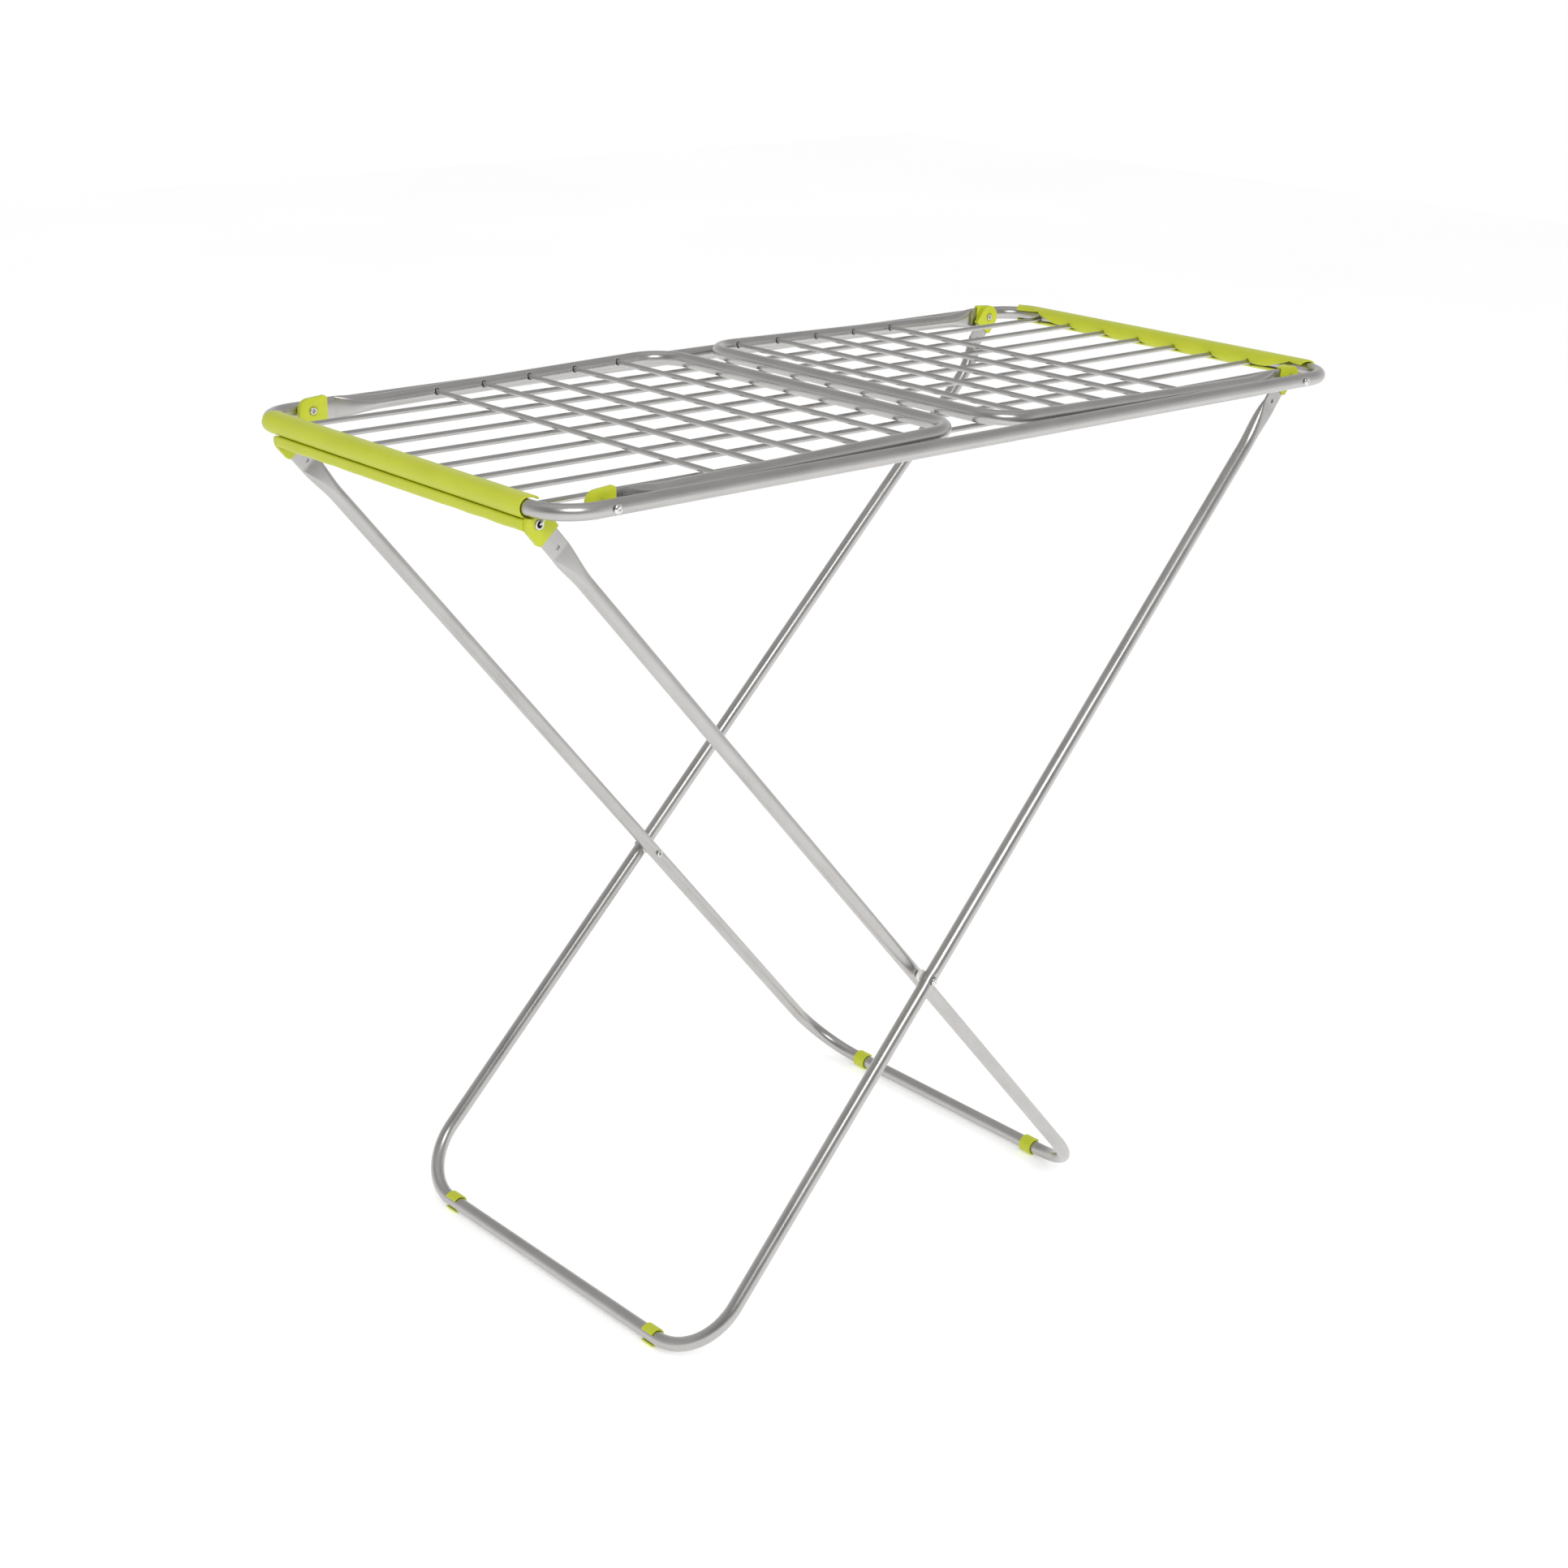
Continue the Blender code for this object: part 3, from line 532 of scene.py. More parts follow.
def lime_plastic(name, tone):
    """Moulded polypropylene: slight mottling, fine skin texture, a soft sheen."""
    look = Look(name)
    place = look.coordinates()
    mottle = look.noise(place, (38.0, 24.0, 38.0), 4.0)
    flow = look.noise(place, (160.0, 40.0, 160.0), 3.0)
    skin = look.noise(place, (1500.0, 1500.0, 1500.0), 2.0)
    specks = look.noise(place, (420.0, 420.0, 420.0), 1.0)
    low, high = tone
    color = look.ramp(look.math('ADD', look.math('MULTIPLY', mottle, 0.65),
                                look.math('MULTIPLY', flow, 0.35)),
                      [(0.3, low), (0.7, high)])
    color = look.tint(color, look.spread(specks, 0.0, 0.35, 0.74, 0.80), (0.33, 0.38, 0.015))
    rough = look.math('ADD', look.spread(flow, 0.34, 0.46), look.spread(skin, -0.03, 0.05))
    normal = look.bump(skin, 0.10, 0.00008)
    normal = look.bump(mottle, 0.12, 0.0012, normal)
    look.set(Base_Color=color, Roughness=rough, Normal=normal)
    return look.material


def plated_steel():
    look = Look("plated_steel")
    place = look.coordinates()
    fine = look.noise(place, (900.0, 900.0, 900.0), 3.0)
    broad = look.noise(place, (260.0, 260.0, 260.0), 2.0)
    color = look.ramp(broad, [(0.3, (0.60, 0.60, 0.60)), (0.7, (0.78, 0.77, 0.76))])
    look.set(Base_Color=color, Metallic=1.0, Roughness=look.spread(fine, 0.13, 0.26),
             Normal=look.bump(fine, 0.10, 0.00008))
    return look.material


def bore_painted_shade():
    """Painted shade: near-black walls that barely reflect, inside the punched holes, standing in
    for the shade there.
    """
    look = Look("bore_painted_shade")
    fine = look.noise(look.coordinates(), (700.0, 700.0, 700.0), 2.0)
    color = look.ramp(fine, [(0.3, (0.006, 0.006, 0.006)), (0.7, (0.016, 0.015, 0.015))])
    look.set(Base_Color=color, Metallic=0.0, Roughness=look.spread(fine, 0.6, 0.8))
    look.shader.inputs["Specular IOR Level"].default_value = 0.1
    return look.material


def nylon():
    look = Look("nylon")
    place = look.coordinates()
    cloud = look.noise(place, (300.0, 300.0, 300.0), 2.0)
    color = look.ramp(cloud, [(0.3, (0.74, 0.74, 0.71)), (0.7, (0.86, 0.86, 0.84))])
    look.set(Base_Color=color, Roughness=look.spread(cloud, 0.36, 0.50),
             Normal=look.bump(look.noise(place, (1600.0, 1600.0, 1600.0)), 0.1, 0.00006))
    return look.material


TUBE = aluminium("tube_aluminium", ((0.445, 0.434, 0.423), (0.53, 0.518, 0.506)), 0.25, 0.34)
WIRE = aluminium("wire_aluminium", ((0.42, 0.41, 0.40), (0.51, 0.50, 0.49)), 0.24, 0.34)
LIME = lime_plastic("lime_plastic", ((0.475, 0.530, 0.016), (0.530, 0.580, 0.022)))
STEEL = plated_steel()
# painted shade for the walls of punched holes: near-black and barely reflecting
BORE_SHADE = bore_painted_shade()
NYLON = nylon()

X, Y, Z = np.eye(3)


# ---- bed ----
def bed_tube():
    """A closed ring, dented at the pivots, its end tubes punched for the wires."""
    corners = [np.array([0, -BED_Y, BED_Z])]
    corners += [np.array([sx * BED_X, sy * BED_Y, BED_Z])
                for sx, sy in ((1, -1), (1, 1), (-1, 1), (-1, -1))]
    corners.append(corners[0])
    path = Path(rounded(corners, [BED_CORNER_R] * 4), closed=True)
    pins = [np.array([sx * PIVOT_X, sy * BED_Y, BED_Z]) for sx in (-1, 1) for sy in (-1, 1)]
    fine = [(path.nearest(pin), 0.016, 0.0012) for pin in pins]
    stations = path.stations(fine)
    points, faces, number = sweep(path, Z, stations, np.full(len(stations), TUBE_R))
    for pin in pins:
        out = Y * np.sign(pin[1])
        points = press(points, pin + out * TUBE_R, -out, *PIVOT_DENT)
    tube = build("bed", [(points, faces, number)])
    holes, collars = [], []
    for wire in range(1, 9):
        y, z = middle_of(f"bed_wire_{wire}")[1:]
        for side in (-1, 1):
            place = np.array([side * (BED_X - TUBE_R), y, z])
            holes.append(cylinder(place, -side * X, WIRE_DEPTH, OVERRUN, WIRE_HOLE_R))
            axis = np.array([side * BED_X, y, BED_Z])
            out, along = -side * X, -side * Y
            collars.append(wire_collar(axis, out, along, (z - BED_Z) * np.cross(out, along)[2]))
    carve(tube, holes)
    join(tube, collars)
    grain(tube, path, Z)
    # the second material is the painted shade on the walls of the wire holes
    present(tube, "bed_frame_tube", TUBE, BORE_SHADE)


def straight_wire(node, along, sag=0.0):
    """A drawn wire along X or Y; its ends neck in slightly where they enter the tubes."""
    low, high = corners_of(node)
    middle = (low + high) / 2
    low, high = np.where(along, low, middle), np.where(along, high, middle)
    t = np.linspace(0, 1, 121)
    points = low + np.outer(t, high - low)
    points[:, 2] -= sag * 4 * t * (1 - t)
    path = Path(points)
    first = np.concatenate([[0, 0.0005], NECK_AT * np.array([0.7, 1.0, 1.2])])
    stations = np.concatenate([first, np.linspace(0.03, path.total - 0.03, 14),
                               path.total - first[::-1]])
    end = np.minimum(stations, path.total - stations)
    radius = WIRE_R - NECK_DEPTH * np.exp(-((end - NECK_AT) / NECK_WIDTH) ** 2)
    radius -= TIP_CHAMFER * (end < 1e-6)
    wire = build(node, [sweep(path, Z, stations, radius, sides=24)])
    grain(wire, path, Z)
    present(wire, node, WIRE)


def bed_wires():
    for number in range(1, 9):
        straight_wire(f"bed_wire_{number}", X, 0.0007)


def wall_section(middle, wall):
    """Closed outline of a wall of even thickness about a centre line, its two ends rounded."""
    along = np.gradient(middle, axis=0)
    along /= np.linalg.norm(along, axis=1, keepdims=True)
    out = np.column_stack([along[:, 1], -along[:, 0]])
    half = wall / 2
    turn = np.linspace(0, math.pi, 8)[1:-1, None]
    last = middle[-1] + half * (np.cos(turn) * out[-1] + np.sin(turn) * along[-1])
    first = middle[0] - half * (np.cos(turn) * out[0] + np.sin(turn) * along[0])
    return np.concatenate([middle + half * out, last, (middle - half * out)[::-1], first])


def ring_section(radius, wall, lip, steps=34):
    """An open ring's section as (towards the mouth, up) pairs."""
    t = np.linspace(lip, 2 * math.pi - lip, steps)
    return wall_section(radius * np.column_stack([np.cos(t), np.sin(t)]), wall)


def cover_section(radius, wall, lip, low_lip):
    """An end cover's section: a ring around the tube, drawn out to a hood above its mouth."""
    hood = np.radians(np.linspace(lip, 90, 20, endpoint=False))
    ring_end = 300    # the lower lip goes on from here
    ring = np.radians(np.linspace(90, ring_end, 32))
    low = np.radians(ring_end + (low_lip - ring_end) * np.array([0.35, 0.7, 1.0]))
    middle = [((HOOD - wall / 2) * math.cos(t) ** HOOD_POWER,
               radius * math.copysign(abs(math.sin(t)) ** HOOD_POWER, t)) for t in hood]
    middle += [(radius * math.cos(t), radius * math.sin(t)) for t in np.concatenate([ring, low])]
    return wall_section(np.array(middle), wall)


def end_fillets(stations, low, high, fillet):
    """Adds rounded ends to a list of places: pairs of (place, how much the wall is pared)."""
    turns = [t * math.pi / 2 for t in (0.0, 0.3, 0.6, 1.0)]
    edge = [(fillet * (1 - math.cos(turn)), fillet * (1 - math.sin(turn))) for turn in turns]
    return ([(low + along, pare) for along, pare in edge]
            + [(s, 0.0) for s in stations if low + fillet < s < high - fillet]
            + [(high - along, pare) for along, pare in reversed(edge)])


def on_end_tube(s, side):
    """Centre of the end tube at the running place s, and its inward direction, round the corner."""
    over = max(abs(s) - (BED_Y - BED_CORNER_R), 0.0)
    turn = over / BED_CORNER_R
    x = BED_X - BED_CORNER_R * (1 - math.cos(turn))
    y = abs(s) - over + BED_CORNER_R * math.sin(turn)
    way = math.copysign(1.0, s)
    inward = np.array([-side * math.cos(turn), -way * math.sin(turn), 0])
    return np.array([side * x, way * y, BED_Z]), inward


def lip_angles(place):
    """Ends of hood and lower lip, in degrees: scalloped between the wires, notched at each wire."""
    beyond = abs(place) / WIRE_PITCH - OUTER_WIRE    # 0 at the outermost wires
    bulge = abs(math.sin(math.pi * beyond)) ** SCALLOP_POWER
    inner, outermost = HOOD_END
    at_wire = inner + (outermost - inner) * min(max(beyond + 1, 0.0), 1.0)
    hood_bulge, low_bulge = (20, 6) if beyond > 0 else (40, 17)
    return at_wire - hood_bulge * bulge, LOW_LIP_END + low_bulge * bulge


def end_cover(node, side):
    """Clip-on cover: a ring around the end tube with a hood over its inner face."""
    low, high = COVER_ENDS[node]
    marks = np.linspace(low, high, 8 * 35 + 1)    # 35 to each of about 8 scallops
    sections = []
    for place, pare in end_fillets(marks, low, high, 0.0006):
        centre, inward = on_end_tube(place, side)
        section = cover_section(COVER_R - COVER_T / 2, COVER_T - 2 * pare, *lip_angles(place))
        sections.append(centre + section[:, :1] * inward + section[:, 1:] * Z)
    present(build(node, [loft(sections)]), node, LIME, angle=40)


# ---- end caps ----
def round_outline(corners, step=0.0006):
    """Outline of (x, z, radius) corners with their roundings, as (x, z) pairs."""
    flat = [np.array([x, z]) for x, z, _ in corners]
    outline = []
    for i, (x, z, radius) in enumerate(corners):
        corner = flat[i]
        a, b = unit(flat[i - 1] - corner), unit(flat[(i + 1) % len(flat)] - corner)
        half = math.acos(np.clip(a @ b, -1, 1)) / 2
        centre = corner + unit(a + b) * radius / math.sin(half)
        first = corner + a * radius / math.tan(half) - centre
        last = corner + b * radius / math.tan(half) - centre
        start = math.atan2(first[1], first[0])
        turn = (math.atan2(last[1], last[0]) - start + math.pi) % (2 * math.pi) - math.pi
        count = max(3, int(abs(turn) * radius / step))
        outline += [tuple(centre + radius * np.array([math.cos(t), math.sin(t)]))
                    for t in np.linspace(start, start + turn, count)]
    return outline


def set_outline(outline, origin, angle):
    """Turns an outline by angle and puts it at origin."""
    c, s = math.cos(angle), math.sin(angle)
    return [(origin[0] + x * c - z * s, origin[2] + x * s + z * c) for x, z in outline]


# corners of the cap outlines about their rivet: (x, z, radius)
WING_CAP = [(-0.0166, -0.0137, 0.0075), (-0.0166, 0.0132, 0.0120), (0.0180, 0.0152, 0.0032),
            (0.0180, -0.0137, 0.0010)]
LEG_CAP = [(-0.0147, 0.0147, 0.0145), (0.0147, 0.0147, 0.0145), (0.0147, -0.0182, 0.0036),
           (-0.0147, -0.0182, 0.0012)]


def end_cap(node, outline, origin, tube_angle, y, bore, extra=()):
    """One pocketed cap: slot for the flattened tube, bore, and a counterbore on each face."""
    cap = build(node, [prism(outline, CAP_T, y)])
    reach, mouth = TIP + GAP, 0.030
    mid = (mouth - reach) / 2
    centre = np.array([origin[0] + mid * math.cos(tube_angle), y,
                       origin[2] + mid * math.sin(tube_angle)])
    slot = (reach + mouth, 2 * (FLAT_T + GAP), 2 * (FLAT_W + GAP))
    carve(cap, [block(centre, tube_angle, slot)])
    place = np.array([origin[0], y, origin[2]])
    wide, depth = COUNTERBORE
    past = 0.02    # well outside both faces
    for reach_low, reach_high, radius in ((past, past, bore), (past, depth - CAP_T, wide),
                                          (depth - CAP_T, past, wide)):
        points, faces, _ = cylinder(place, Y, reach_low, reach_high, radius, 36)
        carve(cap, [(points, faces, 0)])
    for part in extra:
        carve(cap, [part])
    soften(cap, 0.0005)
    present(cap, node, LIME, LIME, angle=38)


# ---- wings ----
def flattening(path, flat_length, blend_length):
    """Fine stations where the tube opens, at both ends of the path."""
    middle = flat_length + blend_length / 2
    return [(place, blend_length * 0.62, 0.0018) for place in (middle, path.total - middle)]


def opening(t):
    """How far the tube has opened at t, which runs from its fold line (0) to its round part (1)."""
    return 1 - (1 - np.clip(t, 0, 1)) ** 2.6


def squeezed(path, stations, flat_length, blend_length):
    """The tube opens quickly from its fold line; its width draws in more slowly."""
    from_end = np.minimum(stations, path.total - stations)
    t = (from_end - flat_length) / blend_length
    thick = FLAT_T + (TUBE_R - FLAT_T) * opening(t)
    wide = FLAT_W + (TUBE_R - FLAT_W) * ease(t)
    return thick, np.maximum(wide - thick, 0.0)


def joggled(points, flat_ys, flat_length, blend_length):
    """Moves the path's two ends sideways to the planes of the flattened tube."""
    run = np.concatenate([[0], np.cumsum(np.linalg.norm(np.diff(points, axis=0), axis=1))])
    from_end = np.minimum(run, run[-1] - run)
    s = opening((from_end - flat_length) / blend_length)
    target = np.where(points[:, 1] < 0, flat_ys[0], flat_ys[1])
    ends = from_end < flat_length + blend_length
    points[ends, 1] = (target + (points[:, 1] - target) * s)[ends]
    return points


def wing(name, side):
    """A wing: U-shaped tube with flattened ends, five wires and two caps."""
    low, high = corners_of(name + "_tube")
    pivot = JOINT_AT[name + "_pivot"] * [1, 0, 1]
    wires = [middle_of(f"{name}_wire_{n}") for n in range(1, 6)]
    closed = np.array([low[0] + TUBE_R if side > 0 else high[0] - TUBE_R, 0, high[2] - TUBE_R])
    reach = unit(closed - pivot)
    tip = pivot - reach * TIP
    corners = [tip - Y * WING_Y, closed - Y * WING_Y, closed + Y * WING_Y, tip + Y * WING_Y]
    flat_length, blend_length = 0.032, 0.054
    cap_ys = [middle_of(f"{name}_cap_{word}")[1] for word in ("near", "far")]
    points = joggled(rounded(corners, [WING_CORNER_R] * 2), cap_ys, flat_length, blend_length)
    path = Path(points)
    up = unit(np.cross(reach, Y) * np.sign(np.cross(reach, Y)[2]))
    stations = path.stations(flattening(path, flat_length, blend_length))
    thick, flat = squeezed(path, stations, flat_length, blend_length)
    tube = build(name, [sweep(path, up, stations, thick, flat)])
    holes, collars = [], []
    for wire in wires:
        for edge in (-1, 1):
            place = wire * [1, 0, 1] + Y * edge * (WING_Y - TUBE_R)
            holes.append(cylinder(place, -edge * Y, WIRE_DEPTH, OVERRUN, WIRE_HOLE_R))
            rise = (wire - pivot) @ up
            axis = (wire - rise * up) * [1, 0, 1] + Y * edge * WING_Y
            drop = rise * (np.cross(-edge * Y, reach) @ up)
            collars.append(wire_collar(axis, -edge * Y, reach, drop))
    for cap_y in cap_ys:
        holes.append(cylinder(pivot + Y * cap_y, Y, OVERRUN, OVERRUN, RIVET_R + GAP))
    carve(tube, holes)
    join(tube, collars)
    grain(tube, path, up)
    # the second material is the painted shade on the walls of the wire and rivet holes
    present(tube, name + "_tube", TUBE, BORE_SHADE)
    for number in range(1, 6):
        straight_wire(f"{name}_wire_{number}", Y)
    outline = round_outline(WING_CAP)
    if side > 0:
        outline = [(-x, z) for x, z in outline][::-1]
    tilt = math.atan2(reach[2], abs(reach[0])) * -side
    for cap_y, word in zip(cap_ys, ("near", "far")):
        end_cap(f"{name}_cap_{word}", set_outline(outline, pivot, tilt), pivot,
                math.atan2(reach[2], reach[0]), cap_y, RIVET_R + GAP)


# ---- legs ----
def leg(name, top, bend, foot_x, tops, foot_y, bore_r):
    """A leg's U-shaped tube: flattened drilled tops, knees, crossing holes and foot bar."""
    foot = np.array([foot_x, 0, FOOT_Z])
    down = unit(bend - top)
    tip = top - down * TIP
    near = [tip + Y * tops[0], bend + Y * tops[0], foot - Y * foot_y]
    far = [foot + Y * foot_y, bend + Y * tops[1], tip + Y * tops[1]]
    radii = [BEND_R, LEG_CORNER_R, LEG_CORNER_R, BEND_R]
    flat_length, blend_length = 0.044, 0.052
    cap_ys = [middle_of(f"{name}_cap_{word}")[1] for word in ("near", "far")]
    points = joggled(rounded(near + far, radii), cap_ys, flat_length, blend_length)
    path = Path(points)
    out = unit(np.cross(unit(foot - bend), Y))
    t = (CROSS[2] - FOOT_Z) / (bend[2] - FOOT_Z)
    crossings = [CROSS * [1, 0, 1] + Y * (edge * foot_y * (1 - t) + top_y * t)
                 for edge, top_y in zip((-1, 1), tops)]
    fine = flattening(path, flat_length, blend_length)
    fine += [(path.nearest(crossing), 0.016, 0.0012) for crossing in crossings]
    stations = path.stations(fine)
    thick, flat = squeezed(path, stations, flat_length, blend_length)
    points, faces, number = sweep(path, out, stations, thick, flat)
    for crossing in crossings:
        for face in (-1, 1):
            points = press(points, crossing + Y * face * TUBE_R, -face * Y, *CROSSING_DENT)
    tube = build(name, [(points, faces, number)])
    holes = []
    for cap_y in cap_ys:
        holes.append(cylinder(top + Y * cap_y, Y, OVERRUN, OVERRUN, bore_r))
        for face in (-1, 1):
            drilled = top + down * DRILL_AT + Y * (cap_y + face * FLAT_T)
            holes.append(cylinder(drilled, Y * face, DRILL_DEPTH, 0.003, DRILL_R))
    holes += [cylinder(crossing, Y, 0.014, 0.014, RIVET_R + GAP) for crossing in crossings]
    carve(tube, holes)
    grain(tube, path, out)
    # the second material is the painted shade on the walls of the rivet and drilled holes
    present(tube, name + "_tube", TUBE, BORE_SHADE)


def foot_clip(node, side):
    """Clip-on foot pad: an open ring with a flat base."""
    place = middle_of(node)
    inner = TUBE_R + GAP
    outer = inner + 0.0024
    x = LEG_A_FOOT_X if "leg_a" in node else LEG_B_FOOT_X
    sections = []
    marks = np.linspace(-CLIP_HALF, CLIP_HALF, 9)
    for y, pare in end_fillets(marks, -CLIP_HALF, CLIP_HALF, 0.0007):
        section = ring_section((outer + inner) / 2, outer - inner - 1.4 * pare, math.radians(46))
        base = np.maximum(FOOT_Z + section[:, 1], pare * 0.5)
        sections.append(np.column_stack([x + side * section[:, 0],
                                         np.full(len(section), place[1] + y), base]))
    present(build(node, [loft(sections)]), node, LIME, angle=40)


def legs():
    """Both legs with their caps and foot clips."""
    top_a = JOINT_AT["bed_pivot"] * [1, 0, 1]
    hook = HOOK * [1, 0, 1]
    slope_b = (hook[2] - CROSS[2]) / (CROSS[0] - hook[0])
    bend_b = hook + np.array([LEG_B_BEND, 0, -LEG_B_BEND * slope_b])
    leg("leg_a", top_a, LEG_A_BEND, LEG_A_FOOT_X, LEG_A_TOPS, LEG_A_FOOT_Y, RIVET_R + GAP)
    leg("leg_b", hook, bend_b, LEG_B_FOOT_X, LEG_B_TOPS, LEG_B_FOOT_Y, EYELET_R + GAP)
    down_a = math.atan2(LEG_A_BEND[2] - top_a[2], LEG_A_BEND[0] - top_a[0])
    down_b = math.atan2(bend_b[2] - hook[2], bend_b[0] - hook[0])
    outline_a = set_outline(round_outline(LEG_CAP), top_a, down_a + math.pi / 2)
    outline_b = [(-x, z) for x, z in round_outline(LEG_CAP)][::-1]
    outline_b = set_outline(outline_b, hook, down_b + math.pi / 2)
    for word in ("near", "far"):
        end_cap(f"leg_a_cap_{word}", outline_a, top_a, down_a, middle_of(f"leg_a_cap_{word}")[1],
                RIVET_R + GAP)
        y = middle_of(f"leg_b_cap_{word}")[1]
        covered = COVER_ENDS["end_cover_left"]
        above = COVER_R if covered[0] < y < covered[1] else TUBE_R
        level = BED_Z - above - 2 * GAP
        corner_x = -BED_X + GAP    # the bed tube begins to turn here
        trimmed = [(x, min(z, level) if x < corner_x else z) for x, z in outline_b]
        points, faces, _ = cylinder([corner_x, y, BED_Z], Y, 0.02, 0.02, above + 4 * GAP, 48)
        end_cap(f"leg_b_cap_{word}", trimmed, hook, down_b, y, EYELET_R + GAP, [(points, faces, 0)])
        foot_clip(f"leg_a_foot_{word}", -1)
        foot_clip(f"leg_b_foot_{word}", 1)


# ---- hook bar, retaining wire, eyelets ----
def hook_bar():
    """Moulded bar between leg B's caps, with a small outer lip and a rippled underside."""
    low, high = corners_of("leg_b_crossbar")
    left, right, top = low[0], high[0], high[2]
    corners = [(left + 0.0058, top, 0.0008), (left + 0.0038, top + 0.0012, 0.0008),
               (left + 0.0002, top + 0.0013, 0.0026), (left + 0.0002, top - 0.0112, 0.0054),
               (left + 0.0115, low[2], 0.010),
               (right - 0.0040, top - 0.0100, 0.005), (right, top - 0.0035, 0.003),
               (right - 0.0004, top, 0.0006)]
    outline = np.array(round_outline(corners, 0.0009))
    centre = outline.mean(axis=0)
    sections = []
    for y, pare in end_fillets(np.linspace(low[1], high[1], 97), low[1], high[1], 0.0008):
        off = y - HOOK[1]
        wave = BAR_WAVE * (0.5 + 0.5 * math.cos(2 * math.pi * off / BAR_WAVE_LENGTH))
        wave *= ease((abs(off) - 0.02) / 0.12)
        section = outline.copy()    # only its underside ripples
        section[:, 1] += wave * np.clip((top - 0.002 - section[:, 1]) / 0.010, 0, 1)
        section = centre + (section - centre) * (1 - pare / 0.008)
        sections.append(np.column_stack([section[:, 0], np.full(len(section), y), section[:, 1]]))
    present(build("leg_b_crossbar", [loft(sections)]), "leg_b_crossbar", LIME, angle=40)


def hook_wire():
    """Bent wire below the hook bar; its two ends stand up outside the eyelets."""
    face = LEG_B_CAP_Y + CAP_T
    bend_y = face + GAP + EYELET_RIM + HOOK_WIRE_R + 2 * GAP
    tip = np.array([0.0052, 0.0, 0.0098])
    side = [Y * (bend_y - 0.006), Y * bend_y + tip * 0.08, Y * bend_y + tip]
    mirror = [p * [1, -1, 1] for p in side]
    route = [HOOK + p for p in mirror[::-1] + side]
    path = Path(rounded(route, [0.0028, 0.05, 0.05, 0.0028], 0.0004))
    bends = [(place, 0.009, 0.0005) for place in (0.006, path.total - 0.006)]
    stations = path.stations(bends, turn=6)
    end = np.minimum(stations, path.total - stations)
    radius = HOOK_WIRE_R - TIP_CHAMFER * (end < 1e-6)
    wire = build("leg_b_hook_wire", [sweep(path, X, stations, radius, sides=20)])
    grain(wire, path, X)
    present(wire, "leg_b_hook_wire", STEEL)


def eyelet(node, edge):
    """Tubular eyelet: rolled rim and funnel outside, plain inner end."""
    face = LEG_B_CAP_Y + CAP_T + GAP
    depth = -(2 * CAP_T + GAP)
    flange, roll = 0.0052, 0.0006
    rim = [(flange - roll + roll * math.cos(t), EYELET_RIM - roll + roll * math.sin(t))
           for t in np.linspace(-1.2, math.pi / 2, 6)]
    funnel = [(0.0036 + 0.0006 * math.cos(t), 0.0002 + 0.0007 * math.sin(t))
              for t in np.linspace(math.pi / 2, math.pi, 5)]
    profile = [(EYELET_R, -0.0001)] + rim + funnel
    profile += [(0.0026, -0.0008), (0.0024, -0.0020), (0.0024, depth + 2 * GAP),
                (EYELET_R, depth + 2 * GAP), (EYELET_R, -0.0001)]
    piece = build(node, [lathe(profile, HOOK + Y * edge * face, edge * Y, 48)])
    present(piece, node, STEEL, angle=50)


# ---- rivets and spacers ----
def rivet(node):
    """Tubular rivet: domed head outside, rolled hollow end inside."""
    low, high = corners_of(node)
    place = (low + high) / 2
    edge = np.sign(place[1])
    outer, inner = (high[1], low[1]) if edge > 0 else (-low[1], -high[1])
    head = outer - 0.0019
    end = inner + 0.0012
    crest = outer - head
    dome = [(0.0, 0.0013), (0.0008, 0.0014), (0.0014, crest), (0.0023, crest - 0.00006),
            (0.0032, 0.00156), (0.0040, 0.00112), (0.0046, 0.00062), (0.0049, 0.00028),
            (0.0050, 0.00008), (0.0046, -0.0001)]
    shank = end - head
    roll = [(RIVET_R, -0.0001), (RIVET_R, shank)]
    roll += [(0.0031 + 0.0011 * math.cos(t), shank - 0.0003 - 0.0010 * math.sin(t))
             for t in np.linspace(-0.45, math.pi, 11)]
    roll += [(0.0016, shank + 0.0004), (0.0014, shank + 0.0024), (0.0, shank + 0.0024)]
    axis = np.array([place[0], edge * head, place[2]])
    piece = build(node, [lathe(dome + roll, axis, edge * Y, 40)])
    present(piece, node, STEEL, angle=50)


def spacer(node):
    """Nylon washer with rounded rims and a shallow groove round its edge."""
    low, high = corners_of(node)
    place = (low + high) / 2
    half = (high[1] - low[1]) / 2
    radius = (high[0] - low[0]) / 2
    rim, lip = 0.0007, 0.0004
    bore = RIVET_R + GAP
    profile = [(bore, half), (bore + lip, half)]
    profile += [(radius - rim + rim * math.sin(t), half - rim + rim * math.cos(t))
                for t in np.linspace(0, math.pi / 2, 5)]
    profile += [(radius - 0.0002, 0.0003), (radius - 0.0002, -0.0003)]
    profile += [(radius - rim + rim * math.cos(t), -half + rim - rim * math.sin(t))
                for t in np.linspace(0, math.pi / 2, 5)]
    profile += [(bore + lip, -half), (bore, -half), (bore, half)]
    piece = build(node, [lathe(profile, place, Y, 40)])
    present(piece, node, NYLON, angle=50)


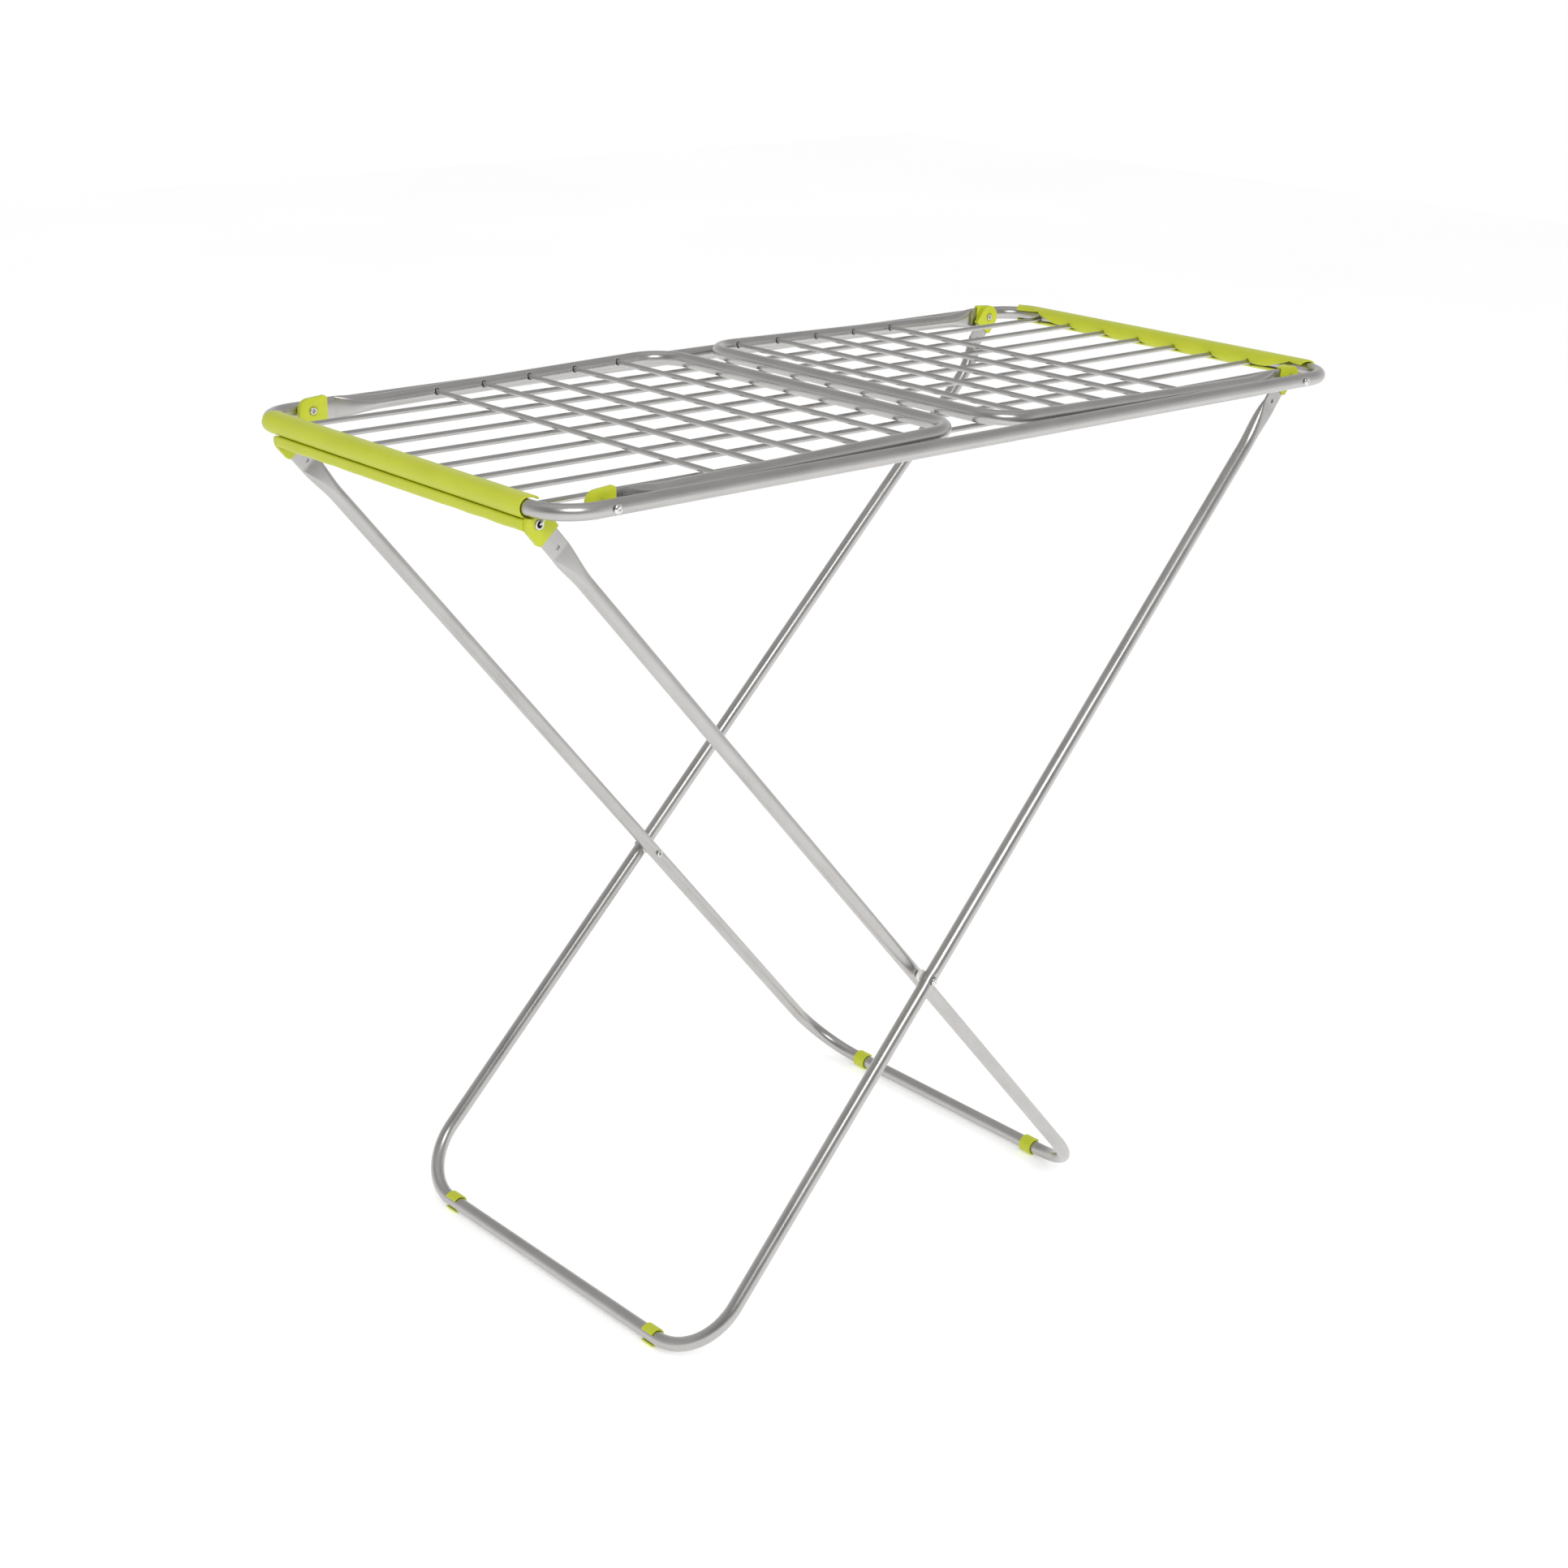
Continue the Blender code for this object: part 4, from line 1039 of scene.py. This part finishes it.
# ---- studio ----
def make_camera():
    forward = Vector((math.sin(CAM_YAW) * math.cos(CAM_PITCH),
                      math.cos(CAM_YAW) * math.cos(CAM_PITCH), math.sin(CAM_PITCH)))
    level = Vector((math.cos(CAM_YAW), -math.sin(CAM_YAW), 0))
    upright = level.cross(forward)
    right = level * math.cos(CAM_ROLL) + upright * math.sin(CAM_ROLL)
    top = upright * math.cos(CAM_ROLL) - level * math.sin(CAM_ROLL)
    data = bpy.data.cameras.new("camera")
    data.lens = CAM_LENS
    data.sensor_width = 36.0
    camera = bpy.data.objects.new("camera", data)
    bpy.context.scene.collection.objects.link(camera)
    turn = Matrix((right, top, -forward)).transposed().to_4x4()
    turn.translation = CAM_POS
    camera.matrix_world = turn
    bpy.context.scene.camera = camera


def make_world():
    """A white studio whose upper half looks dim in the metal and bright everywhere else."""
    world = bpy.data.worlds.new("studio")
    bpy.context.scene.world = world
    world.use_nodes = True
    nodes, link = world.node_tree.nodes, world.node_tree.links.new
    background = nodes["Background"]
    place = nodes.new("ShaderNodeTexCoord").outputs["Generated"]
    split = nodes.new("ShaderNodeSeparateXYZ")
    link(place, split.inputs["Vector"])

    def ramp(source, stops):
        spread = nodes.new("ShaderNodeMapRange")
        spread.inputs["From Min"].default_value = -1.0
        link(source, spread.inputs["Value"])
        node = nodes.new("ShaderNodeValToRGB")
        while len(node.color_ramp.elements) < len(stops):
            node.color_ramp.elements.new(0.5)
        for element, (at, value) in zip(node.color_ramp.elements, stops):
            element.position = at
            element.color = (value, value, value, 1.0)
        link(spread.outputs["Result"], node.inputs["Fac"])
        return node.outputs["Color"]

    def mix(blend, factor, a, b):
        node = nodes.new("ShaderNodeMix")
        node.data_type = 'RGBA'
        node.blend_type = blend
        for name, value in (("Factor", factor), ("A", a), ("B", b)):
            socket = node.inputs[name]
            if isinstance(value, (float, tuple)):
                socket.default_value = value
            else:
                link(value, socket)
        return node.outputs["Result"]

    height = ramp(split.outputs["Z"], [(0.0, 0.88), (0.50, 0.88), (0.59, 0.82), (0.71, 0.58),
                                       (0.88, 0.47), (0.97, 0.70)])
    toward = nodes.new("ShaderNodeVectorMath")
    toward.operation = 'DOT_PRODUCT'
    toward.inputs[1].default_value = Vector((CAM_POS.x, CAM_POS.y, 0)).normalized()
    link(place, toward.inputs[0])
    room = ramp(toward.outputs["Value"],
                [(0.0, 1.0), (0.55, 1.0), (0.78, 0.66), (0.92, 0.42), (1.0, 0.34)])
    rays = nodes.new("ShaderNodeLightPath")
    reflected = mix('MULTIPLY', 1.0, height, room)
    ambient = ramp(split.outputs["Z"], [(0.5, 1.0), (0.75, 0.84), (1.0, 0.55)])
    light = mix('MIX', rays.outputs["Is Glossy Ray"], ambient, reflected)
    seen = mix('MIX', rays.outputs["Is Camera Ray"], light, (1.0, 1.0, 1.0, 1.0))
    link(seen, background.inputs["Color"])
    background.inputs["Strength"].default_value = 1.0


def softbox(name, place, aim, size, power, mirrored=True):
    data = bpy.data.lights.new(name, 'AREA')
    data.shape = 'RECTANGLE'
    data.size, data.size_y = size
    data.energy = power
    light = bpy.data.objects.new(name, data)
    bpy.context.scene.collection.objects.link(light)
    light.location = place
    light.visible_glossy = mirrored
    light.rotation_euler = (Vector(aim) - Vector(place)).to_track_quat('-Z', 'Y').to_euler()


def make_floor():
    points = [(-9, -9, 0), (9, -9, 0), (9, 9, 0), (-9, 9, 0)]
    mesh = bpy.data.meshes.new("floor")
    mesh.from_pydata(points, [], [(0, 1, 2, 3)])
    floor = bpy.data.objects.new("floor", mesh)
    bpy.context.scene.collection.objects.link(floor)
    look = Look("floor")
    cloud = look.noise(look.coordinates(), (0.8, 0.8, 0.8), 2.0)
    look.set(Base_Color=look.ramp(cloud, [(0.3, (0.93, 0.93, 0.93)), (0.7, (0.95, 0.95, 0.95))]),
             Roughness=0.9)
    look.shader.inputs["Emission Color"].default_value = (1.0, 1.0, 1.0, 1.0)
    look.shader.inputs["Emission Strength"].default_value = 0.30
    mesh.materials.append(look.material)


bed_tube()
bed_wires()
end_cover("end_cover_left", -1)
end_cover("end_cover_right", 1)
wing("left_wing", -1)
wing("right_wing", 1)
legs()
hook_bar()
hook_wire()
for word, edge_sign in (("near", -1), ("far", 1)):
    eyelet(f"leg_b_eyelet_{word}", edge_sign)
    spacer(f"crossing_spacer_{word}")
    for kind in ("pivot_rivet_left", "pivot_rivet_right", "crossing_rivet"):
        rivet(f"{kind}_{word}")

make_camera()
make_world()
make_floor()
softbox("key_light", (-1.6, -2.6, 3.2), (0.0, 0.0, 0.7), (1.8, 1.2), 42)
softbox("side_light", (2.6, -1.8, 2.2), (0.0, 0.0, 0.6), (1.0, 2.0), 22, mirrored=False)
bpy.context.scene.view_settings.view_transform = "Standard"
